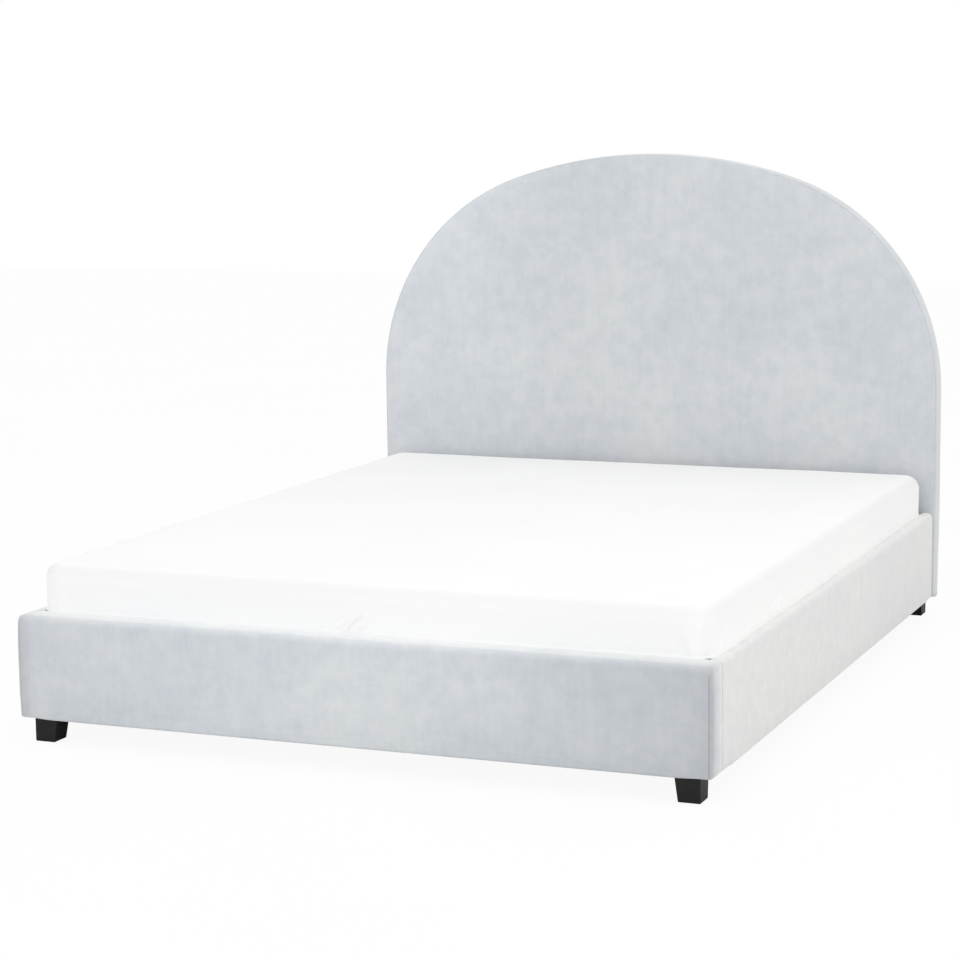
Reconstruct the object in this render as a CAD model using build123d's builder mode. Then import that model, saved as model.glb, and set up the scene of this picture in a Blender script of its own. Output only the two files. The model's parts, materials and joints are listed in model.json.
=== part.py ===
from build123d import *

import os
from math import sqrt

os.makedirs("parts", exist_ok=True)

# Upholstered double bed with an arched headboard, a sprung slatted base and a mattress in a fitted
# sheet, in millimetres. X runs across the bed, Y from the footboard to the headboard and Z up. The
# origin lies on the floor, at the centre of the bed's outline. Left and right are as seen from the
# foot end.

# Mattress and fitted sheet
MATTRESS_WIDTH = 1600
MATTRESS_LENGTH = 2000
MATTRESS_HEIGHT = 190
MATTRESS_CORNER_RADIUS = 50
MATTRESS_TOP_RADIUS = 36
MATTRESS_BASE_CHAMFER = 9
MATTRESS_CROWN = 9
SHEET_THICKNESS = 1
SHEET_TUCK = 45
SEAT_CLEARANCE = 0.3

# Free space round the mattress
SIDE_GAP = 3
FOOT_GAP = 8
HEAD_GAP = 10
SEAT_DEPTH = 72

# Outline of the frame
FOOT_HEIGHT = 57
RAIL_HEIGHT = 241
RAIL_THICKNESS = 32
FOOTBOARD_THICKNESS = 75
HEADBOARD_THICKNESS = 64
HEADBOARD_TOP = 1297
HEADBOARD_OVERHANG = 3
CROWN_RADIUS = 1304
SHOULDER_RADIUS = 625

# Upholstery
FABRIC = 1.5
FABRIC_HEM = 25
FABRIC_RETURN = 3
EDGE_FOAM = 8
RAIL_FOAM = 11
FOOTBOARD_FOAM = 12
HEADBOARD_FOAM = 14
EDGE_RADIUS = 14
INNER_EDGE_RADIUS = 6
HEADBOARD_EDGE_RADIUS = 10
HEADBOARD_FOAM_CHAMFER = 5
BACK_EDGE_CHAMFER = 4

# Boards and timber inside the footboard and the headboard
FOOTBOARD_BOARD = 12
BATTEN_HEIGHT = 40
END_POST_WIDTH = 90
CENTRE_POST_WIDTH = 120
FACE_PANEL = 9
MOUNTING_BOARD_HEIGHT = 166
STILE_WIDTH = 70
BOTTOM_RAIL_HEIGHT = 160
MIDDLE_RAIL_HEIGHT = 60
HEADBOARD_POST_WIDTH = 70
RIM_WIDTH = 60
RIM_CROWN_WIDTH = 800

# Slats and their holders
SLAT_ROWS = 13
SLAT_END_SPACE = 97
SLAT_WIDTH = 63
SLAT_THICKNESS = 8
SLAT_BOW = 8
HOLDER_DEPTH = 40
HOLDER_WALL = 2.5
HOLDER_CLEARANCE = 0.3
HOLDER_BACK_GAP = 1
HOLDER_WEB = 5
TONGUE_WIDTH = 16
TONGUE_THICKNESS = 3
TONGUE_SPREAD = 18
TONGUE_LENGTH = 6
BARB_REACH = 1.2

# Steel of the slatted base
LEDGER_HEIGHT = 35
LEDGER_SEAT = 32
LEDGER_WALL = 2.5
LEDGER_BEND = 3
LEDGER_END_GAP = 10
BEAM_WIDTH = 40
BEAM_HEIGHT = 60
BEAM_WALL = 2
BEAM_CORNER_RADIUS = 4
BEAM_END_GAP = 1
HANGER_WALL = 2.5
HANGER_CLEARANCE = 0.3
HANGER_DEPTH = 45
HANGER_CHEEK_HEIGHT = 42
HANGER_PLATE_WIDTH = 100
HANGER_PLATE_RISE = 12
HANGER_PLATE_DROP = 8

# Corner brackets
BRACKET_HEIGHT = 74
BRACKET_ARM = 60
BRACKET_WALL = 3
BRACKET_BEND = 4
BRACKET_LIFT = 4

# Corner feet
FOOT_INSET = 30
FOOT_SETBACK = 19
REAR_FOOT_SETBACK = 4
FOOT_BASE = 50
FOOT_TOP_WIDTH = 58
FOOT_TOP_DEPTH = 56
FOOT_CHAMFER = 1.5

# Centre legs and their levelling screws
LEG_SPACING = 1000
LEG_WIDTH = 30
LEG_WALL = 1.5
LEG_PLATE_LENGTH = 90
LEG_PLATE_THICKNESS = 3
PLUG_LEVEL = 22
PLUG_FLANGE = 2
PLUG_DEPTH = 22
SCREW_RADIUS = 5
SCREW_CLEARANCE = 0.05
SCREW_LEVEL = 4
SCREW_LENGTH = 63
NUT_SIDES = 6
NUT_LEVEL = 12.5
NUT_HEIGHT = 4.5
NUT_RADIUS = 9.5
PAD_SIDES = 8
PAD_RADIUS = 22
PAD_RIM = 4
PAD_HEIGHT = 11
PAD_HUB_RADIUS = 11

# Widths and lengths that follow
inner_half = MATTRESS_WIDTH / 2 + SIDE_GAP
rail_half = inner_half + RAIL_THICKNESS
headboard_half = rail_half + HEADBOARD_OVERHANG
inner_length = FOOT_GAP + MATTRESS_LENGTH + HEAD_GAP
bed_length = FOOTBOARD_THICKNESS + inner_length + HEADBOARD_THICKNESS
front = -bed_length / 2
back = bed_length / 2
foot_inner = front + FOOTBOARD_THICKNESS
head_inner = back - HEADBOARD_THICKNESS
inner_centre = (foot_inner + head_inner) / 2
mattress_centre = foot_inner + FOOT_GAP + MATTRESS_LENGTH / 2

# Levels that follow
rail_top = FOOT_HEIGHT + RAIL_HEIGHT
slat_crown = rail_top - SEAT_DEPTH
slat_end_top = slat_crown - SLAT_BOW
ledger_top = slat_end_top - SLAT_THICKNESS - HOLDER_CLEARANCE - HOLDER_WALL
beam_base = ledger_top - BEAM_HEIGHT
mattress_base = slat_crown + SEAT_CLEARANCE
mattress_top = mattress_base + MATTRESS_HEIGHT

# The arch: a crown arc between two shoulder arcs that run down into straight sides
shoulder_offset = headboard_half - SHOULDER_RADIUS
arc_distance = CROWN_RADIUS - SHOULDER_RADIUS
crown_centre = HEADBOARD_TOP - CROWN_RADIUS
spring = crown_centre + sqrt(arc_distance**2 - shoulder_offset**2)

# Cores and layers under the fabric
core_inset = FABRIC + EDGE_FOAM
core_base = FOOT_HEIGHT + FABRIC
core_top = rail_top - core_inset
core_height = core_top - core_base
core_middle = (core_top + core_base) / 2
rail_board = RAIL_THICKNESS - 2 * FABRIC - RAIL_FOAM
footboard_core_half = rail_half - core_inset
footboard_core_front = front + FABRIC + FOOTBOARD_FOAM
footboard_core_back = foot_inner - FABRIC
footboard_frame_front = footboard_core_front + FOOTBOARD_BOARD
footboard_frame_back = footboard_core_back - FOOTBOARD_BOARD
footboard_frame_depth = footboard_frame_back - footboard_frame_front
headboard_core_half = headboard_half - core_inset
mounting_front = head_inner + FABRIC
panel_front = mounting_front + HEADBOARD_FOAM
frame_front = panel_front + FACE_PANEL
frame_back = back - FABRIC
frame_depth = frame_back - frame_front
stile_inner = headboard_core_half - STILE_WIDTH
rim_shoulder_width = headboard_core_half - RIM_CROWN_WIDTH / 2
rim_shoulder_middle = headboard_core_half - rim_shoulder_width / 2

# Bare strip that the fabric leaves on the inner faces, from its hem up to its turned edge
board_inner = inner_half + FABRIC
hem_top = FOOT_HEIGHT + FABRIC_HEM
fabric_edge = ledger_top + FABRIC_RETURN
bare_middle = (hem_top + fabric_edge) / 2
bare_height = fabric_edge - hem_top

# Slat rows, their ends and their holders
slat_pitch = (inner_length - 2 * SLAT_END_SPACE) / (SLAT_ROWS - 1)
slat_places = [foot_inner + SLAT_END_SPACE + row * slat_pitch for row in range(SLAT_ROWS)]
holder_back = inner_half - HOLDER_BACK_GAP
holder_front = holder_back - HOLDER_DEPTH
centre_holder_half = HOLDER_WEB / 2 + HOLDER_DEPTH - HOLDER_WALL
slat_outer_end = holder_back - HOLDER_WALL - HOLDER_CLEARANCE
slat_inner_end = HOLDER_WEB / 2 + HOLDER_CLEARANCE
slat_half = (slat_outer_end - slat_inner_end) / 2
slat_middle = (slat_outer_end + slat_inner_end) / 2
holder_rise = SLAT_BOW * (1 - (1 - (HOLDER_DEPTH - HOLDER_WALL) / slat_half) ** 2)
holder_top = slat_end_top + holder_rise + HOLDER_CLEARANCE + HOLDER_WALL
holder_width = SLAT_WIDTH + 2 * (HOLDER_CLEARANCE + HOLDER_WALL)
tongue_place = board_inner - LEDGER_SEAT / 2
slot_length = TONGUE_SPREAD + 2 * HOLDER_CLEARANCE
slot_width = TONGUE_WIDTH + 2 * HOLDER_CLEARANCE

# Beam, its hangers and the centre legs
beam_length = inner_length + 2 * (FABRIC - HANGER_WALL - BEAM_END_GAP)
cradle_width = BEAM_WIDTH + 2 * HANGER_CLEARANCE
hanger_face = footboard_core_back + HANGER_WALL
hanger_plate_base = beam_base - HANGER_WALL - HANGER_PLATE_DROP
hanger_plate_top = beam_base + HANGER_CHEEK_HEIGHT + HANGER_PLATE_RISE
leg_top = beam_base - LEG_PLATE_THICKNESS
leg_bore = LEG_WIDTH - 2 * LEG_WALL
tube_base = PLUG_LEVEL + PLUG_FLANGE
leg_places = {"front": inner_centre - LEG_SPACING / 2, "rear": inner_centre + LEG_SPACING / 2}


def arch_outline(inset, base):
    """Edges round the headboard, drawn in by inset, from the level base up over the crown."""
    half = headboard_half - inset
    reach = (CROWN_RADIUS - inset) / arc_distance
    joint = shoulder_offset * reach
    joint_level = crown_centre + (spring - crown_centre) * reach
    with BuildLine(mode=Mode.PRIVATE) as outline:
        Polyline((-half, spring), (-half, base), (half, base), (half, spring))
        TangentArc((half, spring), (joint, joint_level), tangent=(0, 1))
        ThreePointArc((joint, joint_level), (0, HEADBOARD_TOP - inset), (-joint, joint_level))
        TangentArc((-half, spring), (-joint, joint_level), tangent=(0, 1))
    return outline.edges()


def headboard_foam_block():
    """The headboard's body under its cover, bevelled along its front edge."""
    with BuildPart() as block:
        with BuildSketch(Plane.XZ.offset(-frame_back)):
            make_face(arch_outline(FABRIC, core_base))
        extrude(amount=frame_back - mounting_front)
        front_edges = block.faces().sort_by(Axis.Y)[0].edges()
        chamfer(front_edges.sort_by(Axis.Z)[1:], HEADBOARD_FOAM_CHAMFER)
    return block.part


def footboard_block(inset):
    """The footboard's body drawn in by inset, soft round its top and down its front corners."""
    with BuildPart() as block:
        with BuildSketch(Plane.XY.offset(FOOT_HEIGHT + inset)):
            with Locations((0, front + FOOTBOARD_THICKNESS / 2)):
                Rectangle(2 * (rail_half - inset), FOOTBOARD_THICKNESS - 2 * inset)
        extrude(amount=RAIL_HEIGHT - 2 * inset)
        top_edges = block.faces().sort_by(Axis.Z)[-1].edges().sort_by(Axis.Y)[:-1]
        corner_edges = block.edges().filter_by(Axis.Z).group_by(Axis.Y)[0]
        fillet([*top_edges, *corner_edges], EDGE_RADIUS - inset)
        back_edges = block.faces().sort_by(Axis.Y)[-1].edges().sort_by(Axis.Z)[1:]
        chamfer(back_edges, BACK_EDGE_CHAMFER - (2 - sqrt(2)) * inset)
    return block.part


def rail_outline(inset):
    """Edges round the right side rail's section, drawn in by inset, rounded at the top."""
    inner = inner_half + inset
    outer = rail_half - inset
    base = FOOT_HEIGHT + inset
    top = rail_top - inset
    with BuildLine(mode=Mode.PRIVATE) as outline:
        FilletPolyline(
            (inner, base),
            (inner, top),
            (outer, top),
            (outer, base),
            radius=(INNER_EDGE_RADIUS - inset, EDGE_RADIUS - inset),
        )
        Line((outer, base), (inner, base))
    return outline.edges()


def crown_section(middle, half_span, level):
    """Edges round a flat arch of the mattress's crown, over a chord at the given level."""
    with BuildLine(mode=Mode.PRIVATE) as outline:
        ThreePointArc(
            (middle - half_span, level),
            (middle, level + MATTRESS_CROWN),
            (middle + half_span, level),
        )
        Line((middle + half_span, level), (middle - half_span, level))
    return outline.edges()


def mattress_body(grow):
    """The mattress grown all round by grow: rounded corners, soft top edge and a low crown."""
    rim_level = mattress_top - MATTRESS_CROWN + grow
    rim_width = MATTRESS_TOP_RADIUS + MATTRESS_CROWN
    half_width = MATTRESS_WIDTH / 2 - rim_width
    half_length = MATTRESS_LENGTH / 2 - rim_width
    with BuildPart() as crown:
        with BuildSketch(Plane.XZ.offset(-mattress_centre)):
            make_face(crown_section(0, half_width, rim_level))
        extrude(amount=half_length, both=True)
        with BuildSketch(Plane.YZ):
            make_face(crown_section(mattress_centre, half_length, rim_level))
        extrude(amount=half_width, both=True, mode=Mode.INTERSECT)
    with BuildPart() as body:
        with BuildSketch(Plane.XY.offset(mattress_base - grow)):
            with Locations((0, mattress_centre)):
                RectangleRounded(
                    MATTRESS_WIDTH + 2 * grow,
                    MATTRESS_LENGTH + 2 * grow,
                    MATTRESS_CORNER_RADIUS + grow,
                )
        extrude(amount=MATTRESS_HEIGHT - MATTRESS_CROWN + 2 * grow)
        fillet(body.faces().sort_by(Axis.Z)[-1].edges(), MATTRESS_TOP_RADIUS + grow)
        base_chamfer = MATTRESS_BASE_CHAMFER + (2 - sqrt(2)) * grow
        chamfer(body.faces().sort_by(Axis.Z)[0].edges(), base_chamfer)
        add(crown.part)
    return body.part


def draw_pocket(mouth, end):
    """Side view of a holder's pocket from its mouth to its end, on the slope of the slat's bow."""
    roof = slat_end_top + HOLDER_CLEARANCE
    floor = slat_end_top - SLAT_THICKNESS - HOLDER_CLEARANCE
    Polygon((mouth, floor + holder_rise), (end, floor), (end, roof), (mouth, roof + holder_rise))


def draw_tongues(place, wall):
    """Side view of a holder's two snap tongues, whose barbs catch below a seat of the given wall."""
    root = TONGUE_SPREAD / 2 - TONGUE_THICKNESS
    outside = TONGUE_SPREAD / 2
    catch = ledger_top - wall - HOLDER_CLEARANCE
    for side in (-1, 1):
        Polygon(
            (place + side * root, ledger_top),
            (place + side * outside, ledger_top),
            (place + side * outside, catch),
            (place + side * (outside + BARB_REACH), catch),
            (place + side * root, catch - TONGUE_LENGTH),
        )


# Headboard cover: face, edges and a hem turned on to the back. Its face is cut away behind the
# slatted base, where the brackets and the beam's hanger seat on the board.
with BuildPart() as headboard_cover:
    with BuildSketch(Plane.XZ.offset(-back)):
        make_face(arch_outline(0, FOOT_HEIGHT))
    extrude(amount=HEADBOARD_THICKNESS)
    face_edges = headboard_cover.faces().sort_by(Axis.Y)[0].edges()
    fillet(face_edges.sort_by(Axis.Z)[1:], HEADBOARD_EDGE_RADIUS)
    add(headboard_foam_block(), mode=Mode.SUBTRACT)
    with BuildSketch(Plane.XZ.offset(-back)):
        make_face(arch_outline(FABRIC_HEM, hem_top))
    extrude(amount=FABRIC, mode=Mode.SUBTRACT)
    with BuildSketch(Plane.XZ.offset(-mounting_front)):
        with Locations((0, bare_middle)):
            Rectangle(2 * board_inner, bare_height)
    extrude(amount=FABRIC, mode=Mode.SUBTRACT)
headboard_cover.part.label = "headboard_cover"
export_step(headboard_cover.part, "parts/headboard_cover.step")

# Headboard foam: over the face above the mounting board, and round the edges of the core
with BuildPart() as headboard_foam:
    add(headboard_foam_block())
    with BuildSketch(Plane.XZ.offset(-frame_back)):
        make_face(arch_outline(core_inset, core_base))
    extrude(amount=frame_back - panel_front, mode=Mode.SUBTRACT)
    with BuildSketch(Plane.XZ.offset(-panel_front)):
        with Locations((0, core_base + MOUNTING_BOARD_HEIGHT / 2)):
            Rectangle(2 * headboard_core_half, MOUNTING_BOARD_HEIGHT)
    extrude(amount=HEADBOARD_FOAM, mode=Mode.SUBTRACT)
headboard_foam.part.label = "headboard_foam"
export_step(headboard_foam.part, "parts/headboard_foam.step")

# Mounting board at the foot of the headboard, as thick as the foam above it
with BuildPart() as headboard_mounting_board:
    with BuildSketch(Plane.XZ.offset(-panel_front)):
        with Locations((0, core_base + MOUNTING_BOARD_HEIGHT / 2)):
            Rectangle(2 * headboard_core_half, MOUNTING_BOARD_HEIGHT)
    extrude(amount=HEADBOARD_FOAM)
headboard_mounting_board.part.label = "headboard_mounting_board"
export_step(headboard_mounting_board.part, "parts/headboard_mounting_board.step")

# Thin panel that carries the foam
with BuildPart() as headboard_face_panel:
    with BuildSketch(Plane.XZ.offset(-frame_front)):
        make_face(arch_outline(core_inset, core_base))
    extrude(amount=FACE_PANEL)
headboard_face_panel.part.label = "headboard_face_panel"
export_step(headboard_face_panel.part, "parts/headboard_face_panel.step")

# Stiles of the headboard's frame
for side in ("left", "right"):
    with BuildPart() as headboard_stile:
        with BuildSketch(Plane.XZ.offset(-frame_back)):
            with Locations((headboard_core_half - STILE_WIDTH / 2, (core_base + spring) / 2)):
                Rectangle(STILE_WIDTH, spring - core_base)
        extrude(amount=frame_depth)
        if side == "left":
            mirror(about=Plane.YZ, mode=Mode.REPLACE)
    headboard_stile.part.label = f"headboard_stile_{side}"
    export_step(headboard_stile.part, f"parts/headboard_stile_{side}.step")

# Rim of the frame above the stiles: a crown piece between two shoulder pieces
for place, middle, width in (
    ("left", -rim_shoulder_middle, rim_shoulder_width),
    ("crown", 0, RIM_CROWN_WIDTH),
    ("right", rim_shoulder_middle, rim_shoulder_width),
):
    with BuildPart() as headboard_rim:
        with BuildSketch(Plane.XZ.offset(-frame_back)):
            make_face(arch_outline(core_inset, core_base))
            make_face(arch_outline(core_inset + RIM_WIDTH, core_base), mode=Mode.SUBTRACT)
            with Locations((middle, (spring + HEADBOARD_TOP) / 2)):
                Rectangle(width, HEADBOARD_TOP - spring, mode=Mode.INTERSECT)
        extrude(amount=frame_depth)
    headboard_rim.part.label = f"headboard_rim_{place}"
    export_step(headboard_rim.part, f"parts/headboard_rim_{place}.step")

# Rails between the stiles
with BuildPart() as headboard_bottom_rail:
    with BuildSketch(Plane.XZ.offset(-frame_back)):
        with Locations((0, core_base + BOTTOM_RAIL_HEIGHT / 2)):
            Rectangle(2 * stile_inner, BOTTOM_RAIL_HEIGHT)
    extrude(amount=frame_depth)
headboard_bottom_rail.part.label = "headboard_bottom_rail"
export_step(headboard_bottom_rail.part, "parts/headboard_bottom_rail.step")

with BuildPart() as headboard_middle_rail:
    with BuildSketch(Plane.XZ.offset(-frame_back)):
        with Locations((0, spring - MIDDLE_RAIL_HEIGHT / 2)):
            Rectangle(2 * stile_inner, MIDDLE_RAIL_HEIGHT)
    extrude(amount=frame_depth)
headboard_middle_rail.part.label = "headboard_middle_rail"
export_step(headboard_middle_rail.part, "parts/headboard_middle_rail.step")

# Posts in the middle of the headboard, below and above the middle rail, the upper cut to the rim
with BuildPart() as headboard_posts:
    with BuildSketch(Plane.XZ.offset(-frame_back)):
        make_face(arch_outline(core_inset + RIM_WIDTH, core_base + BOTTOM_RAIL_HEIGHT))
        with Locations((0, HEADBOARD_TOP / 2)):
            Rectangle(HEADBOARD_POST_WIDTH, HEADBOARD_TOP, mode=Mode.INTERSECT)
        with Locations((0, spring - MIDDLE_RAIL_HEIGHT / 2)):
            Rectangle(HEADBOARD_POST_WIDTH, MIDDLE_RAIL_HEIGHT, mode=Mode.SUBTRACT)
    extrude(amount=frame_depth)
headboard_posts.part.label = "headboard_posts"
export_step(headboard_posts.part, "parts/headboard_posts.step")

# Dust cloth on the back, inside the cover's hem
with BuildPart() as headboard_back_cloth:
    with BuildSketch(Plane.XZ.offset(-back)):
        make_face(arch_outline(FABRIC_HEM, hem_top))
    extrude(amount=FABRIC)
headboard_back_cloth.part.label = "headboard_back_cloth"
export_step(headboard_back_cloth.part, "parts/headboard_back_cloth.step")

# Footboard cover, cut away on the inner face below the slats as the headboard's is
with BuildPart() as footboard_cover:
    add(footboard_block(0))
    add(footboard_block(FABRIC), mode=Mode.SUBTRACT)
    with BuildSketch(Plane.XZ.offset(-foot_inner)):
        with Locations((0, bare_middle)):
            Rectangle(2 * board_inner, bare_height)
    extrude(amount=FABRIC, mode=Mode.SUBTRACT)
footboard_cover.part.label = "footboard_cover"
export_step(footboard_cover.part, "parts/footboard_cover.step")

# Footboard foam: over the front, the ends and the top of the core
with BuildPart() as footboard_foam:
    add(footboard_block(FABRIC))
    with BuildSketch(Plane.XZ.offset(-footboard_core_back)):
        with Locations((0, core_middle)):
            Rectangle(2 * footboard_core_half, core_height)
    extrude(amount=footboard_core_back - footboard_core_front, mode=Mode.SUBTRACT)
footboard_foam.part.label = "footboard_foam"
export_step(footboard_foam.part, "parts/footboard_foam.step")

# Boards on the front and the back of the footboard's core
for face, board_back in (("front", footboard_frame_front), ("back", footboard_core_back)):
    with BuildPart() as footboard_board:
        with BuildSketch(Plane.XZ.offset(-board_back)):
            with Locations((0, core_middle)):
                Rectangle(2 * footboard_core_half, core_height)
        extrude(amount=FOOTBOARD_BOARD)
    footboard_board.part.label = f"footboard_{face}_board"
    export_step(footboard_board.part, f"parts/footboard_{face}_board.step")

# Battens along the bottom and the top of the footboard, between its boards
with BuildPart() as footboard_battens:
    with BuildSketch(Plane.XZ.offset(-footboard_frame_back)):
        with Locations((0, core_base + BATTEN_HEIGHT / 2), (0, core_top - BATTEN_HEIGHT / 2)):
            Rectangle(2 * footboard_core_half, BATTEN_HEIGHT)
    extrude(amount=footboard_frame_depth)
footboard_battens.part.label = "footboard_battens"
export_step(footboard_battens.part, "parts/footboard_battens.step")

# Posts between the battens: one behind each corner bracket and one behind the beam's hanger
with BuildPart() as footboard_posts:
    end_post = footboard_core_half - END_POST_WIDTH / 2
    with BuildSketch(Plane.XZ.offset(-footboard_frame_back)):
        with Locations((0, core_middle)):
            Rectangle(CENTRE_POST_WIDTH, core_height - 2 * BATTEN_HEIGHT)
        with Locations((-end_post, core_middle), (end_post, core_middle)):
            Rectangle(END_POST_WIDTH, core_height - 2 * BATTEN_HEIGHT)
    extrude(amount=footboard_frame_depth)
footboard_posts.part.label = "footboard_posts"
export_step(footboard_posts.part, "parts/footboard_posts.step")

# Side rails: a board, foam over its outside and top, and a cover cut away low on the inside. On
# the board sits a steel angle, slotted for the outer slat holders.
for side in ("left", "right"):
    with BuildPart() as side_rail_board:
        with BuildSketch(Plane.XZ.offset(-head_inner)):
            with Locations((board_inner + rail_board / 2, core_middle)):
                Rectangle(rail_board, core_height)
        extrude(amount=inner_length)
        if side == "left":
            mirror(about=Plane.YZ, mode=Mode.REPLACE)
    side_rail_board.part.label = f"side_rail_board_{side}"
    export_step(side_rail_board.part, f"parts/side_rail_board_{side}.step")

    with BuildPart() as side_rail_foam:
        with BuildSketch(Plane.XZ.offset(-head_inner)):
            make_face(rail_outline(FABRIC))
            with Locations((board_inner + rail_board / 2, core_middle)):
                Rectangle(rail_board, core_height, mode=Mode.SUBTRACT)
        extrude(amount=inner_length)
        if side == "left":
            mirror(about=Plane.YZ, mode=Mode.REPLACE)
    side_rail_foam.part.label = f"side_rail_foam_{side}"
    export_step(side_rail_foam.part, f"parts/side_rail_foam_{side}.step")

    with BuildPart() as side_rail_cover:
        with BuildSketch(Plane.XZ.offset(-head_inner)):
            make_face(rail_outline(0))
            make_face(rail_outline(FABRIC), mode=Mode.SUBTRACT)
            with Locations((inner_half + FABRIC / 2, bare_middle)):
                Rectangle(FABRIC, bare_height, mode=Mode.SUBTRACT)
        extrude(amount=inner_length)
        if side == "left":
            mirror(about=Plane.YZ, mode=Mode.REPLACE)
    side_rail_cover.part.label = f"side_rail_cover_{side}"
    export_step(side_rail_cover.part, f"parts/side_rail_cover_{side}.step")

    with BuildPart() as ledger:
        with BuildSketch(Plane.XZ.offset(LEDGER_END_GAP - head_inner)) as ledger_section:
            Polygon(
                (board_inner, ledger_top - LEDGER_HEIGHT),
                (board_inner, ledger_top),
                (board_inner - LEDGER_SEAT, ledger_top),
                (board_inner - LEDGER_SEAT, ledger_top - LEDGER_WALL),
                (board_inner - LEDGER_WALL, ledger_top - LEDGER_WALL),
                (board_inner - LEDGER_WALL, ledger_top - LEDGER_HEIGHT),
            )
            bend = ledger_section.vertices().sort_by_distance((board_inner, ledger_top))[0]
            fillet(bend, LEDGER_BEND)
        extrude(amount=inner_length - 2 * LEDGER_END_GAP)
        with BuildSketch(Plane.XY.offset(ledger_top)):
            with Locations(*[(tongue_place, place) for place in slat_places]):
                Rectangle(slot_length, slot_width)
        extrude(amount=-LEDGER_WALL, mode=Mode.SUBTRACT)
        if side == "left":
            mirror(about=Plane.YZ, mode=Mode.REPLACE)
    ledger.part.label = f"ledger_{side}"
    export_step(ledger.part, f"parts/ledger_{side}.step")

# Steel brackets that join the side rails to the footboard and the headboard, one in each corner
with BuildPart() as corner_brackets:
    elbow = board_inner - BRACKET_WALL
    shelf = footboard_core_back + BRACKET_WALL
    with BuildSketch(Plane.XY.offset(hem_top + BRACKET_LIFT)) as bracket_section:
        Polygon(
            (board_inner, footboard_core_back),
            (board_inner, footboard_core_back + BRACKET_ARM),
            (elbow, footboard_core_back + BRACKET_ARM),
            (elbow, shelf),
            (board_inner - BRACKET_ARM, shelf),
            (board_inner - BRACKET_ARM, footboard_core_back),
        )
        fillet(bracket_section.vertices().sort_by_distance((elbow, shelf))[0], BRACKET_BEND)
    extrude(amount=BRACKET_HEIGHT)
    mirror(about=Plane.YZ)
    mirror(about=Plane.XZ.offset(-inner_centre))
corner_brackets.part.label = "corner_brackets"
export_step(corner_brackets.part, "parts/corner_brackets.step")

# Tapered corner feet, upright on their outer sides
for end, edge, turn in (("front", front + FOOT_SETBACK, 1), ("rear", back - REAR_FOOT_SETBACK, -1)):
    for side in ("left", "right"):
        foot_outer = rail_half - FOOT_INSET
        with BuildPart() as foot:
            with BuildSketch(Plane.XZ.offset(-edge)):
                Polygon(
                    (foot_outer, 0),
                    (foot_outer, FOOT_HEIGHT),
                    (foot_outer - FOOT_TOP_WIDTH, FOOT_HEIGHT),
                    (foot_outer - FOOT_BASE, 0),
                )
            extrude(amount=-turn * FOOT_TOP_DEPTH)
            with BuildSketch(Plane.YZ.offset(foot_outer)):
                Polygon(
                    (edge, 0),
                    (edge, FOOT_HEIGHT),
                    (edge + turn * FOOT_TOP_DEPTH, FOOT_HEIGHT),
                    (edge + turn * FOOT_BASE, 0),
                )
            extrude(amount=-FOOT_TOP_WIDTH, mode=Mode.INTERSECT)
            chamfer(foot.faces().sort_by(Axis.Z)[0].edges(), FOOT_CHAMFER)
            if side == "left":
                mirror(about=Plane.YZ, mode=Mode.REPLACE)
        foot.part.label = f"foot_{end}_{side}"
        export_step(foot.part, f"parts/foot_{end}_{side}.step")

# Steel tube under the middle of the slats, slotted for the centre holders
with BuildPart() as centre_beam:
    with BuildSketch(Plane.XZ.offset(-inner_centre - beam_length / 2)):
        with Locations((0, beam_base + BEAM_HEIGHT / 2)):
            RectangleRounded(BEAM_WIDTH, BEAM_HEIGHT, BEAM_CORNER_RADIUS)
            Rectangle(BEAM_WIDTH - 2 * BEAM_WALL, BEAM_HEIGHT - 2 * BEAM_WALL, mode=Mode.SUBTRACT)
    extrude(amount=beam_length)
    with BuildSketch(Plane.XY.offset(ledger_top)):
        with Locations(*[(0, place) for place in slat_places]):
            Rectangle(slot_length, slot_width)
    extrude(amount=-BEAM_WALL, mode=Mode.SUBTRACT)
centre_beam.part.label = "centre_beam"
export_step(centre_beam.part, "parts/centre_beam.step")

# Hangers that hold the ends of the beam: a plate on the board and a cradle that the beam drops into
with BuildPart() as beam_hangers:
    with BuildSketch(Plane.XZ.offset(-hanger_face)):
        with Locations((0, (hanger_plate_base + hanger_plate_top) / 2)):
            Rectangle(HANGER_PLATE_WIDTH, hanger_plate_top - hanger_plate_base)
    extrude(amount=HANGER_WALL)
    with BuildSketch(Plane.XZ.offset(-hanger_face)):
        with Locations((0, beam_base + (HANGER_CHEEK_HEIGHT - HANGER_WALL) / 2)):
            Rectangle(cradle_width + 2 * HANGER_WALL, HANGER_CHEEK_HEIGHT + HANGER_WALL)
        with Locations((0, beam_base + HANGER_CHEEK_HEIGHT / 2)):
            Rectangle(cradle_width, HANGER_CHEEK_HEIGHT, mode=Mode.SUBTRACT)
    extrude(amount=-HANGER_DEPTH)
    mirror(about=Plane.XZ.offset(-inner_centre))
beam_hangers.part.label = "beam_hangers"
export_step(beam_hangers.part, "parts/beam_hangers.step")

# Slats: one row is a left and a right slat, each bowed up between its outer and centre holder
with BuildPart() as slat_pair:
    slat_base = slat_end_top - SLAT_THICKNESS
    with BuildSketch(Plane.XZ):
        with BuildLine():
            ThreePointArc(
                (slat_inner_end, slat_end_top),
                (slat_middle, slat_crown),
                (slat_outer_end, slat_end_top),
            )
            Line((slat_outer_end, slat_end_top), (slat_outer_end, slat_base))
            ThreePointArc(
                (slat_outer_end, slat_base),
                (slat_middle, slat_base + SLAT_BOW),
                (slat_inner_end, slat_base),
            )
            Line((slat_inner_end, slat_base), (slat_inner_end, slat_end_top))
        make_face()
    extrude(amount=SLAT_WIDTH / 2, both=True)
    mirror(about=Plane.YZ)

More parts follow.
